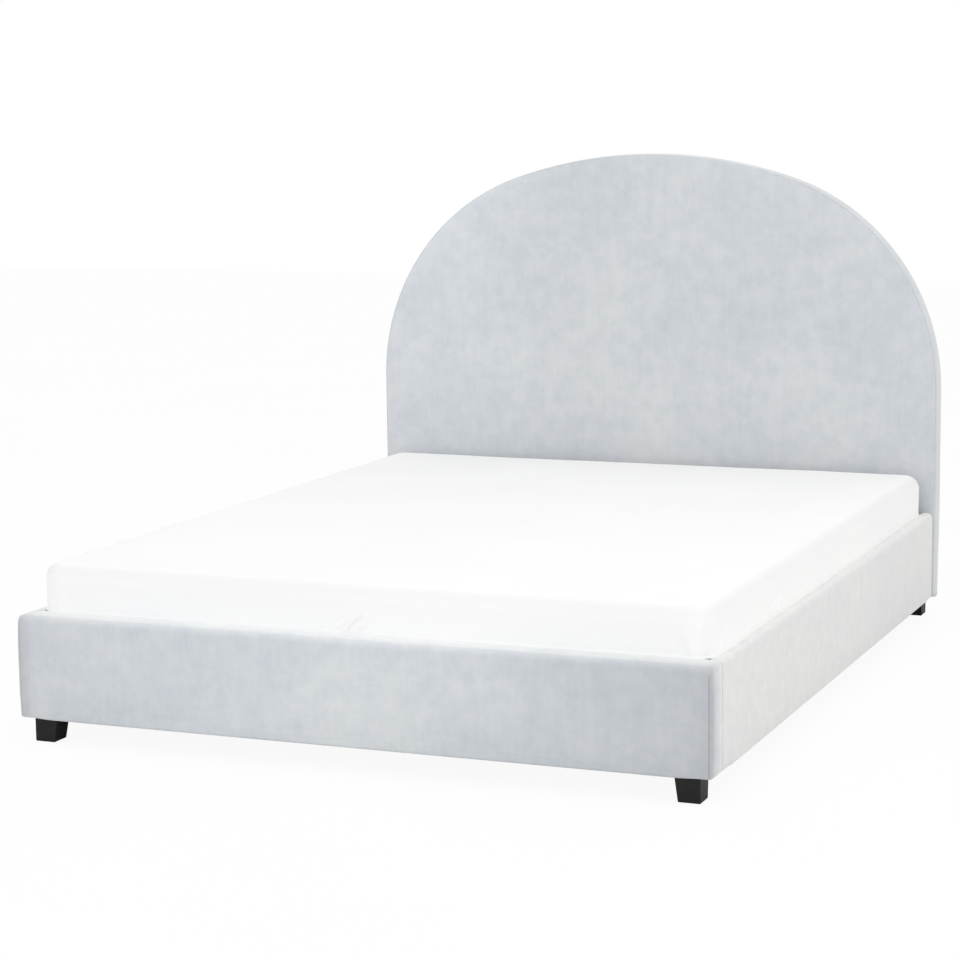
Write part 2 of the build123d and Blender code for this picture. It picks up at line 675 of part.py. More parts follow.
for row, place in enumerate(slat_places, start=1):
    with BuildPart() as slat_row:
        with Locations((0, place, 0)):
            add(slat_pair.part)
    slat_row.part.label = f"slat_row_{row:02d}"
    export_step(slat_row.part, f"parts/slat_row_{row:02d}.step")

# Outer slat holder: a pocket for the slat's end, open at the mouth, with tongues that snap into
# the slot in the steel angle
with BuildPart() as outer_holder:
    with BuildSketch(Plane.XZ):
        with Locations((holder_back - HOLDER_DEPTH / 2, (ledger_top + holder_top) / 2)):
            Rectangle(HOLDER_DEPTH, holder_top - ledger_top)
    extrude(amount=holder_width / 2, both=True)
    with BuildSketch(Plane.XZ):
        draw_pocket(holder_front, slat_outer_end + HOLDER_CLEARANCE)
    extrude(amount=SLAT_WIDTH / 2 + HOLDER_CLEARANCE, both=True, mode=Mode.SUBTRACT)
    with BuildSketch(Plane.XZ):
        draw_tongues(tongue_place, LEDGER_WALL)
    extrude(amount=TONGUE_WIDTH / 2, both=True)

for side in ("left", "right"):
    with BuildPart() as outer_slat_holders:
        with Locations(*[(0, place, 0) for place in slat_places]):
            add(outer_holder.part)
        if side == "left":
            mirror(about=Plane.YZ, mode=Mode.REPLACE)
    outer_slat_holders.part.label = f"outer_slat_holders_{side}"
    export_step(outer_slat_holders.part, f"parts/outer_slat_holders_{side}.step")

# Centre slat holder: two pockets back to back, with tongues that snap into the slot in the beam
with BuildPart() as centre_holder:
    with BuildSketch(Plane.XZ):
        with Locations((0, (ledger_top + holder_top) / 2)):
            Rectangle(2 * centre_holder_half, holder_top - ledger_top)
    extrude(amount=holder_width / 2, both=True)
    with BuildSketch(Plane.XZ):
        draw_pocket(centre_holder_half, HOLDER_WEB / 2)
        draw_pocket(-centre_holder_half, -HOLDER_WEB / 2)
    extrude(amount=SLAT_WIDTH / 2 + HOLDER_CLEARANCE, both=True, mode=Mode.SUBTRACT)
    with BuildSketch(Plane.XZ):
        draw_tongues(0, BEAM_WALL)
    extrude(amount=TONGUE_WIDTH / 2, both=True)

with BuildPart() as centre_slat_holders:
    with Locations(*[(0, place, 0) for place in slat_places]):
        add(centre_holder.part)
centre_slat_holders.part.label = "centre_slat_holders"
export_step(centre_slat_holders.part, "parts/centre_slat_holders.step")

# Centre legs under the beam, each with a levelling screw that turns in a pad on the floor
for end, place in leg_places.items():
    with BuildPart() as centre_leg:
        with BuildSketch(Plane.XY.offset(leg_top)):
            with Locations((0, place)):
                Rectangle(BEAM_WIDTH, LEG_PLATE_LENGTH)
        extrude(amount=LEG_PLATE_THICKNESS)
        with BuildSketch(Plane.XY.offset(tube_base)):
            with Locations((0, place)):
                Rectangle(LEG_WIDTH, LEG_WIDTH)
                Rectangle(leg_bore, leg_bore, mode=Mode.SUBTRACT)
        extrude(amount=leg_top - tube_base)
    centre_leg.part.label = f"centre_leg_{end}"
    export_step(centre_leg.part, f"parts/centre_leg_{end}.step")

    with BuildPart() as levelling_screw:
        with BuildSketch(Plane.XY.offset(SCREW_LEVEL)):
            with Locations((0, place)):
                Circle(SCREW_RADIUS)
        extrude(amount=SCREW_LENGTH)
        with BuildSketch(Plane.XY.offset(NUT_LEVEL)):
            with Locations((0, place)):
                RegularPolygon(NUT_RADIUS, NUT_SIDES)
        extrude(amount=NUT_HEIGHT)
    levelling_screw.part.label = f"levelling_screw_{end}"
    export_step(levelling_screw.part, f"parts/levelling_screw_{end}.step")

    with BuildPart() as levelling_pad:
        with BuildSketch(Plane.XY):
            with Locations((0, place)):
                RegularPolygon(PAD_RADIUS, PAD_SIDES)
        extrude(amount=PAD_RIM)
        with BuildSketch(Plane.XY):
            with Locations((0, place)):
                RegularPolygon(PAD_HUB_RADIUS, PAD_SIDES)
        extrude(amount=PAD_HEIGHT)
        with BuildSketch(Plane.XY.offset(SCREW_LEVEL)):
            with Locations((0, place)):
                Circle(SCREW_RADIUS + SCREW_CLEARANCE)
        extrude(amount=PAD_HEIGHT - SCREW_LEVEL, mode=Mode.SUBTRACT)
    levelling_pad.part.label = f"levelling_pad_{end}"
    export_step(levelling_pad.part, f"parts/levelling_pad_{end}.step")

# Plugs in the ends of the centre legs, bored for the levelling screws
with BuildPart() as leg_plugs:
    plug_places = [(0, place) for place in leg_places.values()]
    with BuildSketch(Plane.XY.offset(PLUG_LEVEL)):
        with Locations(*plug_places):
            Rectangle(LEG_WIDTH, LEG_WIDTH)
    extrude(amount=PLUG_FLANGE)
    with BuildSketch(Plane.XY.offset(tube_base)):
        with Locations(*plug_places):
            Rectangle(leg_bore, leg_bore)
    extrude(amount=PLUG_DEPTH)
    with BuildSketch(Plane.XY.offset(PLUG_LEVEL)):
        with Locations(*plug_places):
            Circle(SCREW_RADIUS + SCREW_CLEARANCE)
    extrude(amount=PLUG_FLANGE + PLUG_DEPTH, mode=Mode.SUBTRACT)
leg_plugs.part.label = "leg_plugs"
export_step(leg_plugs.part, "parts/leg_plugs.step")

# Mattress on the crowns of the slats
mattress = mattress_body(0)
mattress.label = "mattress"
export_step(mattress, "parts/mattress.step")

# Fitted sheet: over the mattress's top and sides and tucked under its edge
with BuildPart() as fitted_sheet:
    add(mattress_body(SHEET_THICKNESS))
    add(mattress, mode=Mode.SUBTRACT)
    with BuildSketch(Plane.XY.offset(mattress_base - SHEET_THICKNESS)):
        with Locations((0, mattress_centre)):
            Rectangle(MATTRESS_WIDTH - 2 * SHEET_TUCK, MATTRESS_LENGTH - 2 * SHEET_TUCK)
    extrude(amount=SHEET_THICKNESS, mode=Mode.SUBTRACT)
fitted_sheet.part.label = "fitted_sheet"
export_step(fitted_sheet.part, "parts/fitted_sheet.step")
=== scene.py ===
"""Looks of an upholstered double bed: padded panels, a stretched sheet, materials, light and camera."""

import json
from itertools import product
from math import atan2, cos, exp, hypot, pi, radians, sin, sqrt, tan

import bmesh
import bpy
from mathutils import Matrix, Vector, noise
from mathutils.geometry import delaunay_2d_cdt
from mathutils.kdtree import KDTree


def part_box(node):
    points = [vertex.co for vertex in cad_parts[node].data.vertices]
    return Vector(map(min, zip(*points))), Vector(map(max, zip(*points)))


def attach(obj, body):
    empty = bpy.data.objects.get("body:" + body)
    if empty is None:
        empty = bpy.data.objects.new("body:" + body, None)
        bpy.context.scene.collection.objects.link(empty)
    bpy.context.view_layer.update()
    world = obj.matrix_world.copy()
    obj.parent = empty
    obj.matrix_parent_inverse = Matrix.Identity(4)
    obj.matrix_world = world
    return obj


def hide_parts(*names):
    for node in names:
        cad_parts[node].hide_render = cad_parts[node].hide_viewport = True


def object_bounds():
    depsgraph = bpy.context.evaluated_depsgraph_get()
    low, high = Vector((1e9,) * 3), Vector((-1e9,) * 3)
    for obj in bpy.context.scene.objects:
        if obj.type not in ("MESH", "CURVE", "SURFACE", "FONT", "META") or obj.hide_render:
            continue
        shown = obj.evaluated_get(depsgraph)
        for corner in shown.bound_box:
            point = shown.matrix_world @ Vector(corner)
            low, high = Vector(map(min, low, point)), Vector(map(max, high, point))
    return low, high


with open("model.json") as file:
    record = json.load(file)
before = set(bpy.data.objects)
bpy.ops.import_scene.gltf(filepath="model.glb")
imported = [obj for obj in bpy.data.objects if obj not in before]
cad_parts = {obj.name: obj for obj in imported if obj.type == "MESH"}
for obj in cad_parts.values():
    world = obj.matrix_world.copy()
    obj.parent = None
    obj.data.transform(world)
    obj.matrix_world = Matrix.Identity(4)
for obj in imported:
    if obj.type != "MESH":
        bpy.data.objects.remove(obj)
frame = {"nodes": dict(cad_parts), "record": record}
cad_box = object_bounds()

MM = 0.001

# The arch of the headboard, as in the frame
CROWN_RADIUS = 1304 * MM
SHOULDER_RADIUS = 625 * MM

# Meshes: the spacing of points, spans of an edge's rounding, and how far inner points keep from an
# outline and from a loop's points, as shares of the spacing
PANEL_STEP = 14 * MM
FILL_STEP = 40 * MM
SMALLEST_STEP = 0.15 * MM
EDGE_SPANS = 5
EDGE_GAP = 0.6
LOOP_GAP = 0.4

# Mattress and sheet
CORNER_RADIUS = 50 * MM
TOP_RADIUS = 36 * MM
BASE_RADIUS = 14 * MM
CROWN_RISE = 9 * MM
CORNER_TURNS = 10
SHEET_OVER = 1 * MM
TUCK = 45 * MM
SIDE_BULGE = 10 * MM
SIDE_BULGE_SPREAD = 5 * MM
SHEET_CLEAR = 2 * MM
LIP_CLEAR = 0.2 * MM
SHEET_SINK = 0.6 * MM
SHEET_FLARE = 3 * MM
FLARE_HEIGHT = 6 * MM
FOOT_BULGE = 14 * MM
HEAD_BULGE = 1 * MM
BULGE_START = 9 * MM
BULGE_RISE = 8 * MM

# Padded panels: their rounding across and down an inner top edge, and along a joint
RAIL_LIP = (7 * MM, 16 * MM)
FOOT_LIP = (3 * MM, 17 * MM)
JOINT_RADIUS = 3 * MM

# Their swell on the face and on top, the share left at an edge, and the reach of an edge, face and end
SOFT_BULGE = 2.2 * MM
TOP_BULGE = 0.8 * MM
EDGE_SHARE = 0.4
EDGE_FADE = 70 * MM
FACE_DEPTH = 8 * MM
END_FADE = 25 * MM

# Their unevenness: broad waves and short ripples
WAVE_HEIGHT = 0.5 * MM
WAVE_LENGTH = 190 * MM
RIPPLE_HEIGHT = 0.25 * MM
RIPPLE_LENGTH = 60 * MM

# Seams and their threads, whose deeper colour is painted shade, and the dark line of painted shade in
# each rail's joint
SEAM_DEPTH = 1.9 * MM
HEAD_SEAM_DEPTH = 1.2 * MM
SEAM_WIDTH = 1.5 * MM
THREAD_RADIUS = 0.75 * MM
JOINT_SHADE_RADIUS = 1 * MM
PALE_THREAD_RADIUS = 0.35 * MM

# Footboard: its front corners' rounding across and in depth, the seam's turn round them, its full ends
FOOT_CORNER = (9 * MM, 13 * MM)
SEAM_TURN = radians(70)
FOOT_SPREAD = 2.5 * MM

# Side rail: its outer top edge, and the line of painted shade in its joint with the footboard
RAIL_EDGE = 15 * MM
LINE_RADIUS = 9 * MM

# Headboard: its front and back edges, its side strip as (depth from the back, swell), its face as
# (inset, swell), its outline's spacing, its full sides and the level of its shoulders' painted
# highlight
HEAD_EDGE = 9 * MM
BACK_EDGE = 4 * MM
STRIP_SWELL = ((18 * MM, 1.8 * MM), (32 * MM, 2.4 * MM), (46 * MM, 1.4 * MM))
FACE_SWELL = ((14 * MM, 0.5 * MM), (22 * MM, 1.0 * MM), (34 * MM, 1.5 * MM))
OUTLINE_STEP = 12 * MM
HEAD_SPREAD = 3.3 * MM
SPREAD_FADE = 250 * MM
SHINE_LEVEL = 655 * MM

# The strip of the boards' inner faces that the fabric leaves bare
HEM = 25 * MM
BARE_DENT = 2.6 * MM

# Cloth simulation: its frames, the share of a mesh's points that it uses, and its settings
SWELL_FRAMES = 12
SWELL_SHARE = 0.08
SWELL_NEIGHBOURS = 6
SWELL_SETTINGS = {
    "vertex_group_mass": "held",
    "use_pressure": True,
    "quality": 4,
    "mass": 0.4,
    "tension_stiffness": 12,
    "compression_stiffness": 12,
    "bending_stiffness": 2,
}

# Fasteners: a head's profile as (radius, height) shares, its segments, and sizes as (radius, height)
BOLT_PROFILE = ((1, 0), (1, 0.35), (0.82, 0.75), (0.5, 1), (0.42, 1), (0.40, 0.45))
SOCKET_SHARE = 0.45
BOLT_SEGMENTS = 18
BRACKET_BOLT = (6.5 * MM, 3.6 * MM)
HANGER_BOLT = (5.5 * MM, 3 * MM)
LEDGER_SCREW = (4.5 * MM, 2.4 * MM)

# Where they sit: walls of the brackets, angles and hangers, and places along them
BRACKET_WALL = 3 * MM
BRACKET_ARM = 38 * MM
BOLT_RISE = 20 * MM
ANGLE_WALL = 2.5 * MM
SCREW_LEVEL = 14 * MM
SCREW_STEP = 300 * MM
SCREW_END = 90 * MM
HANGER_INSET = 14 * MM
HANGER_X = 37 * MM

# Camera at the photograph's place; its turns are azimuth, tilt from straight down and roll, in degrees
CAMERA_PLACE = (2.36282, -6.04187, 1.46260)
CAMERA_TURNS = ((22.33, "Z"), (90 - 8.45, "X"), (-0.70, "Z"))
CAMERA_LENS = 96.35

# Light: square lamps as (name, place, target, power, colour), the surround, and the white floor
LAMP_SIZE = 3.5
LAMPS = (
    ("right_softbox", (5.2, -1.6, 2.4), (0, 0, 0.4), 44, (1.0, 0.985, 0.955)),
    ("front_softbox", (-1.2, -6.5, 2.2), (0, 0, 0.5), 47, (0.985, 0.99, 1.0)),
    ("top_softbox", (0.3, -0.6, 4.6), (0, 0, 0.3), 30, (1.0, 1.0, 1.0)),
)
SURROUND_COLOUR = (0.97, 0.985, 1.0)
SURROUND_STRENGTH = 0.87
FLOOR_REACH = 14
FLOOR_WHITE = 0.93

rail_low, rail_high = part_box("side_rail_cover_right")
foot_low, foot_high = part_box("footboard_cover")
head_low, head_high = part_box("headboard_cover")
ledger_low, ledger_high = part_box("ledger_right")
bed_low, bed_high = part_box("mattress")
bracket_low, bracket_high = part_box("corner_brackets")
hanger_low, hanger_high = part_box("beam_hangers")
inner_face = rail_low.x
board_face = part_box("side_rail_board_right")[0].x
bed_middle = (bed_low.y + bed_high.y) / 2
bed_half = (bed_high.y - bed_low.y) / 2

# Levels between which the boards' inner faces are left bare by the fabric
bare_low = foot_low.z + HEM
bare_high = ledger_high.z + 3 * MM

# The arch's shoulder centres and where its sides end, as x and z
shoulder_x = head_high.x - SHOULDER_RADIUS
crown_z = head_high.z - CROWN_RADIUS
spring_z = crown_z + sqrt((CROWN_RADIUS - SHOULDER_RADIUS) ** 2 - shoulder_x**2)


# Materials


def set_inputs(node, **values):
    """Sets inputs of a shader node, with underscores for the spaces in their names."""
    for socket, value in values.items():
        node.inputs[socket.replace("_", " ")].default_value = value


class Paint:
    """A material under construction, with short calls for the nodes that it needs."""

    def __init__(self, name, roughness, **sockets):
        self.material = bpy.data.materials.new(name)
        self.material.use_nodes = True
        self.tree = self.material.node_tree
        self.link = self.tree.links.new
        self.shader = self.tree.nodes["Principled BSDF"]
        set_inputs(self.shader, Roughness=roughness, **sockets)
        self.coords = self.node("TexCoord").outputs["Object"]

    def node(self, kind, **settings):
        made = self.tree.nodes.new("ShaderNode" + kind)
        for setting, value in settings.items():
            setattr(made, setting, value)
        return made

    def noise(self, scale, stretch=(1, 1, 1), detail=3.0, rough=0.5):
        """A noise pattern with the given features per metre, drawn out along an axis by stretch."""
        mapping = self.node("Mapping")
        set_inputs(mapping, Scale=stretch)
        self.link(self.coords, mapping.inputs["Vector"])
        texture = self.node("TexNoise")
        set_inputs(texture, Scale=scale, Detail=detail, Roughness=rough)
        self.link(mapping.outputs["Vector"], texture.inputs["Vector"])
        return texture.outputs["Fac"]

    def ramp(self, value, *stops):
        """Colours read along a value, from (position, colour) stops."""
        made = self.node("ValToRGB")
        elements = made.color_ramp.elements
        while len(elements) < len(stops):
            elements.new(0.5)
        for element, (position, colour) in zip(elements, stops):
            element.position = position
            element.color = (*colour, 1)
        self.link(value, made.inputs["Fac"])
        return made.outputs["Color"]

    def tones(self, scale, *stops, **pattern):
        """Colours read along a noise pattern."""
        return self.ramp(self.noise(scale, **pattern), *stops)

    def multiply(self, share, first, second):
        """A colour multiplied by a share of another one."""
        made = self.node("Mix", data_type="RGBA", blend_type="MULTIPLY")
        set_inputs(made, Factor=share)
        self.link(first, made.inputs["A"])
        self.link(second, made.inputs["B"])
        return made.outputs["Result"]

    def with_painted_light(self, colour):
        """A colour made lighter or darker by the light and shade painted into the mesh's attribute."""
        painted_light = self.node("Attribute", attribute_name="painted_light")
        share = self.node("Math", operation="ADD")
        share.inputs[1].default_value = 1
        made = self.node("VectorMath", operation="SCALE")
        self.link(painted_light.outputs["Fac"], share.inputs[0])
        self.link(colour, made.inputs["Vector"])
        self.link(share.outputs["Value"], made.inputs["Scale"])
        return made.outputs["Vector"]

    def colour(self, value):
        self.link(value, self.shader.inputs["Base Color"])

    def rough(self, value, low, high):
        made = self.node("MapRange")
        set_inputs(made, To_Min=low, To_Max=high)
        self.link(value, made.inputs["Value"])
        self.link(made.outputs["Result"], self.shader.inputs["Roughness"])

    def bump(self, *layers):
        """Height patterns stacked from (value, strength, distance) layers."""
        normal = None
        for value, strength, distance in layers:
            made = self.node("Bump")
            set_inputs(made, Strength=strength, Distance=distance)
            self.link(value, made.inputs["Height"])
            if normal is not None:
                self.link(normal, made.inputs["Normal"])
            normal = made.outputs["Normal"]
        self.link(normal, self.shader.inputs["Normal"])


def grey(value):
    return (value, value, value)


def upholstery_material(name, cool, middle, warm):
    """Pale short pile in soft patches of three tones with faint upright streaks, under painted light
    and shade.
    """
    paint = Paint(name, 0.95, Sheen_Weight=0.7, Sheen_Roughness=0.5, Sheen_Tint=(1.0, 0.97, 0.92, 1))
    cloudy = ((0.34, (0.925, 0.940, 0.955)), (0.62, (1.03, 1.025, 1.015)))
    streaky = ((0.30, grey(0.90)), (0.72, grey(1.02)))
    layers = (
        (0.90, paint.tones(24, *cloudy, detail=4, rough=0.7)),
        (0.32, paint.tones(90, *streaky, stretch=(1, 1, 0.07), detail=4, rough=0.7)),
        (0.40, paint.tones(420, (0.34, grey(0.88)), (0.66, grey(1.02)), detail=3, rough=0.6)),
    )
    colour = paint.tones(3.2, (0.34, cool), (0.50, middle), (0.66, warm), detail=5, rough=0.6)
    for share, layer in layers:
        colour = paint.multiply(share, colour, layer)
    paint.colour(paint.with_painted_light(colour))
    paint.bump(
        (paint.noise(900, detail=2), 0.35, 0.5 * MM),
        (paint.noise(70, stretch=(1, 1, 0.3), detail=4), 0.12, 0.6 * MM),
    )
    return paint.material


def sheet_material():
    """Smooth white cotton with a fine weave, under painted light and shade."""
    paint = Paint("sheet", 0.88, Sheen_Weight=0.08, Sheen_Roughness=0.4)
    tone = paint.tones(2.5, (0.35, (0.926, 0.914, 0.906)), (0.65, (0.941, 0.929, 0.916)), detail=3)
    weave = paint.tones(1400, (0.35, grey(0.965)), (0.65, grey(1)), detail=1)
    paint.colour(paint.with_painted_light(paint.multiply(0.5, tone, weave)))
    paint.bump((paint.noise(1500, detail=1), 0.12, 0.2 * MM), (paint.noise(16, detail=3), 0.10, 2 * MM))
    return paint.material


def mattress_material():
    """White knitted cover with a soft small relief."""
    paint = Paint("mattress", 0.92, Sheen_Weight=0.1)
    paint.colour(paint.tones(30, (0.4, (0.80, 0.80, 0.79)), (0.6, (0.86, 0.86, 0.85)), detail=2))
    paint.bump((paint.noise(160, detail=1), 0.4, 1.2 * MM), (paint.noise(1100), 0.2, 0.3 * MM))
    return paint.material


def foam_material():
    paint = Paint("foam", 0.95)
    paint.colour(paint.tones(500, (0.4, (0.70, 0.68, 0.60)), (0.6, (0.80, 0.78, 0.71)), detail=1))
    paint.bump((paint.noise(700, detail=1), 0.5, 0.6 * MM))
    return paint.material


def thread_material(name, tone):
    """The line of a seam: the cloth's colour made deeper, as painted shade in the seam's groove."""
    paint = Paint(name, 0.95)
    dark = (tone * 0.86, tone * 0.92, tone * 0.97)
    light = (tone * 1.12, tone * 1.18, tone * 1.24)
    paint.colour(paint.tones(900, (0.4, dark), (0.6, light), detail=1))
    paint.bump((paint.noise(1200, detail=1), 0.4, 0.2 * MM))
    return paint.material


def wood_material(name, dark, light, stretch, grain, roughness):
    """Wood whose grain runs along the axis that stretch draws out."""
    paint = Paint(name, roughness)
    figure = paint.tones(grain, (0.32, dark), (0.68, light), stretch=stretch, detail=6, rough=0.6)
    pores = paint.noise(grain * 9, stretch=stretch, detail=2)
    specks = paint.ramp(pores, (0.38, grey(0.82)), (0.5, grey(1)))
    paint.colour(paint.multiply(0.6, figure, specks))
    paint.rough(paint.noise(grain * 2, stretch=stretch), roughness - 0.08, roughness + 0.1)
    paint.bump((pores, 0.15, 0.2 * MM))
    return paint.material


def board_material():
    """Raw particle board: pressed chips of several browns."""
    paint = Paint("board", 0.85)
    chips = ((0.36, (0.30, 0.20, 0.11)), (0.50, (0.50, 0.36, 0.21)), (0.64, (0.64, 0.49, 0.31)))
    paint.colour(paint.tones(190, *chips, stretch=(1, 1, 1.7), detail=2, rough=0.7))
    paint.bump((paint.noise(260, detail=2), 0.2, 0.3 * MM))
    return paint.material


def back_cloth_material():
    """Thin black non-woven cloth with pressed dots."""
    paint = Paint("back_cloth", 0.9)
    dots = paint.node("TexVoronoi")
    set_inputs(dots, Scale=650)
    paint.link(paint.coords, dots.inputs["Vector"])
    depth = dots.outputs["Distance"]
    paint.colour(paint.ramp(depth, (0.2, grey(0.016)), (0.5, grey(0.030))))
    paint.bump((depth, 0.4, 0.3 * MM), (paint.noise(9, detail=2), 0.3, 3 * MM))
    return paint.material


def steel_material():
    """Black powder coat with its fine orange-peel texture."""
    paint = Paint("powder_coated_steel", 0.45)
    paint.colour(paint.tones(40, (0.35, grey(0.018)), (0.65, grey(0.028))))
    paint.rough(paint.noise(60), 0.38, 0.55)
    paint.bump((paint.noise(1300, detail=1), 0.25, 0.15 * MM))
    return paint.material


def plastic_material(name, tone):
    """Moulded plastic with a slight texture and scuffs."""
    paint = Paint(name, 0.5, Specular_IOR_Level=0.25)
    paint.colour(paint.tones(35, (0.35, grey(tone * 0.8)), (0.7, grey(tone * 1.3)), detail=4))
    paint.rough(paint.noise(80, detail=4), 0.36, 0.6)
    paint.bump((paint.noise(1600, detail=1), 0.2, 0.1 * MM))
    return paint.material


def screw_material():
    paint = Paint("zinc_plated_steel", 0.3, Metallic=1.0)
    paint.colour(paint.tones(120, (0.35, (0.50, 0.51, 0.52)), (0.65, (0.66, 0.66, 0.64))))
    paint.rough(paint.noise(300), 0.22, 0.4)
    paint.bump((paint.noise(900, stretch=(0.05, 0.05, 1)), 0.2, 0.15 * MM))
    return paint.material


looks = {
    "upholstery": upholstery_material(
        "upholstery", (0.572, 0.600, 0.624), (0.604, 0.624, 0.652), (0.636, 0.654, 0.664)
    ),
    # The rails' cloth: a lighter, warmer copy of the same pile, as painted sheen and painted light on
    # their sides
    "rail_upholstery_painted_sheen": upholstery_material(
        "rail_upholstery_painted_sheen", (0.676, 0.690, 0.686), (0.702, 0.704, 0.698), (0.714, 0.716, 0.690)
    ),
    "foam": foam_material(),
    "board": board_material(),
    "timber": wood_material("softwood", (0.44, 0.29, 0.15), (0.66, 0.48, 0.28), (1, 1, 0.06), 60, 0.7),
    "back_cloth": back_cloth_material(),
    "steel": steel_material(),
    "slat": wood_material("birch", (0.56, 0.39, 0.22), (0.74, 0.56, 0.36), (0.05, 1, 1), 55, 0.42),
    "holder": plastic_material("holder_plastic", 0.020),
    "foot": plastic_material("foot_finish", 0.008),
    "screw": screw_material(),
    "pad": plastic_material("pad_plastic", 0.022),
    "mattress": mattress_material(),
    "sheet": sheet_material(),
    # Seam threads darkened as painted shade of the seams' grooves, paler on the headboard
    "thread": thread_material("seam_thread", 0.32),
    "pale_thread": thread_material("pale_seam_thread", 0.46),
}
for entry in frame["record"]["subparts"]:
    mesh = frame["nodes"][entry["node"]].data
    mesh.materials.clear()
    mesh.materials.append(looks[entry["material_slot"]])


# Mesh building


def add_object(name, data):
    """A new object in the scene."""
    obj = bpy.data.objects.new(name, data)
    bpy.context.scene.collection.objects.link(obj)
    return obj


def make_object(name, points, faces, look):
    """A smooth-shaded mesh object with one material and outward normals."""
    mesh = bpy.data.meshes.new(name)
    mesh.from_pydata([tuple(p) for p in points], [], faces)
    work = bmesh.new()
    work.from_mesh(mesh)
    bmesh.ops.recalc_face_normals(work, faces=work.faces)
    work.to_mesh(mesh)
    work.free()
    mesh.shade_smooth()
    mesh.materials.append(looks[look])
    return add_object(name, mesh)


def paint_light_and_shade(obj, tone):
    """Stores the painted light and shade of each point of a piece: how much lighter or darker than its
    cloth it is drawn.
    """
    painted_light = obj.data.attributes.new("painted_light", "FLOAT", "POINT")
    for vertex, slot in zip(obj.data.vertices, painted_light.data):
        slot.value = tone(vertex.co)


def spaced(low, high, step=PANEL_STEP):
    """Values from low to high, both included, about a step apart."""
    count = max(1, round((high - low) / step))
    return [low + (high - low) * i / count for i in range(count + 1)]


def edge_samples(radius):
    """Distances out from where an edge's rounding starts, evenly spread round it."""
    return [radius * tan(pi / 4 * i / EDGE_SPANS) for i in range(EDGE_SPANS + 1)]


def axis_samples(low, high, low_radius, high_radius, extra):
    """Grid values along one side of a rounded box, fine in its rounded edges."""
    inner_low, inner_high = low + low_radius, high - high_radius
    values = [inner_low - d for d in edge_samples(low_radius)]
    values += [inner_high + d for d in edge_samples(high_radius)]
    values += spaced(inner_low, inner_high)
    values += [v for v in extra if low < v < high]
    values = sorted(values)
    kept = values[:1]
    for value in values[1:]:
        if value - kept[-1] > SMALLEST_STEP:
            kept.append(value)
    kept[-1] = high
    return kept


def rounded_box(low, high, radii, extra):
    """Points and faces of a box with its own rounding on each side, as ((x low, x high), ...)."""
    axes = [axis_samples(low[i], high[i], *radii[i], extra[i]) for i in range(3)]
    index = {}
    points = []

    def corner(key):
        if key not in index:
            index[key] = len(points)
            points.append(Vector([values[i] for values, i in zip(axes, key)]))
        return index[key]

    faces = []
    last = [len(values) - 1 for values in axes]
    for axis in (2, 1, 0):
        first, second = (i for i in range(3) if i != axis)
        for side, i, j in product((0, last[axis]), range(last[first]), range(last[second])):
            face = []
            for a, b in ((i, j), (i + 1, j), (i + 1, j + 1), (i, j + 1)):
                key = [side] * 3
                key[first], key[second] = a, b
                face.append(corner(tuple(key)))
            faces.append(face)
    rounded = []
    for point in points:
        reach = Vector((0, 0, 0))
        radius = Vector((1, 1, 1))
        for i in range(3):
            if point[i] < low[i] + radii[i][0]:
                radius[i] = radii[i][0]
                reach[i] = (point[i] - low[i] - radius[i]) / radius[i]
            elif point[i] > high[i] - radii[i][1]:
                radius[i] = radii[i][1]
                reach[i] = (point[i] - high[i] + radius[i]) / radius[i]
        if reach.length > 1e-6:
            unit = reach.normalized()
            point = Vector([point[i] + (unit[i] - reach[i]) * radius[i] for i in range(3)])
        rounded.append(point)
    return rounded, faces


def quarter_turn(count):
    """(1 - sine, 1 - cosine) pairs evenly along a quarter turn."""
    angles = [pi / 2 * i / count for i in range(count + 1)]
    return [(1 - sin(angle), 1 - cos(angle)) for angle in angles]


def fade(distance, width):
    """0 at an edge, rising smoothly to 1 at the given width from it."""
    share = min(1, max(0, distance / width))
    return share * share * (3 - 2 * share)


def wave(point, length, seed=0.0):
    """A smooth random value between about -1 and 1 that changes over the given length."""
    return noise.noise(Vector(point) / length + Vector((seed, seed * 1.7, seed * 2.3)))


def arch_ring(inset):
    """The headboard's outline drawn in by inset, as (x, z) points from its base round."""
    half = head_high.x - inset
    base = head_low.z + inset
    joint = atan2(shoulder_x, spring_z - crown_z)
    count = round((spring_z - head_low.z) / OUTLINE_STEP)
    right = [(half, base + (spring_z - base) * i / count) for i in range(count)]
    radius = SHOULDER_RADIUS - inset
    turns = round((pi / 2 - joint) * SHOULDER_RADIUS / OUTLINE_STEP)
    for i in range(turns):
        angle = (pi / 2 - joint) * i / turns
        right.append((shoulder_x + radius * cos(angle), spring_z + radius * sin(angle)))
    radius = CROWN_RADIUS - inset
    turns = round(joint * CROWN_RADIUS / OUTLINE_STEP)
    for i in range(turns + 1):
        angle = joint * (1 - i / turns)
        right.append((radius * sin(angle), crown_z + radius * cos(angle)))
    left = [(-x, z) for x, z in reversed(right[:-1])]
    count = round(2 * head_high.x / PANEL_STEP)
    floor = [(-half + 2 * half * i / count, base) for i in range(1, count)]
    return right + left + floor


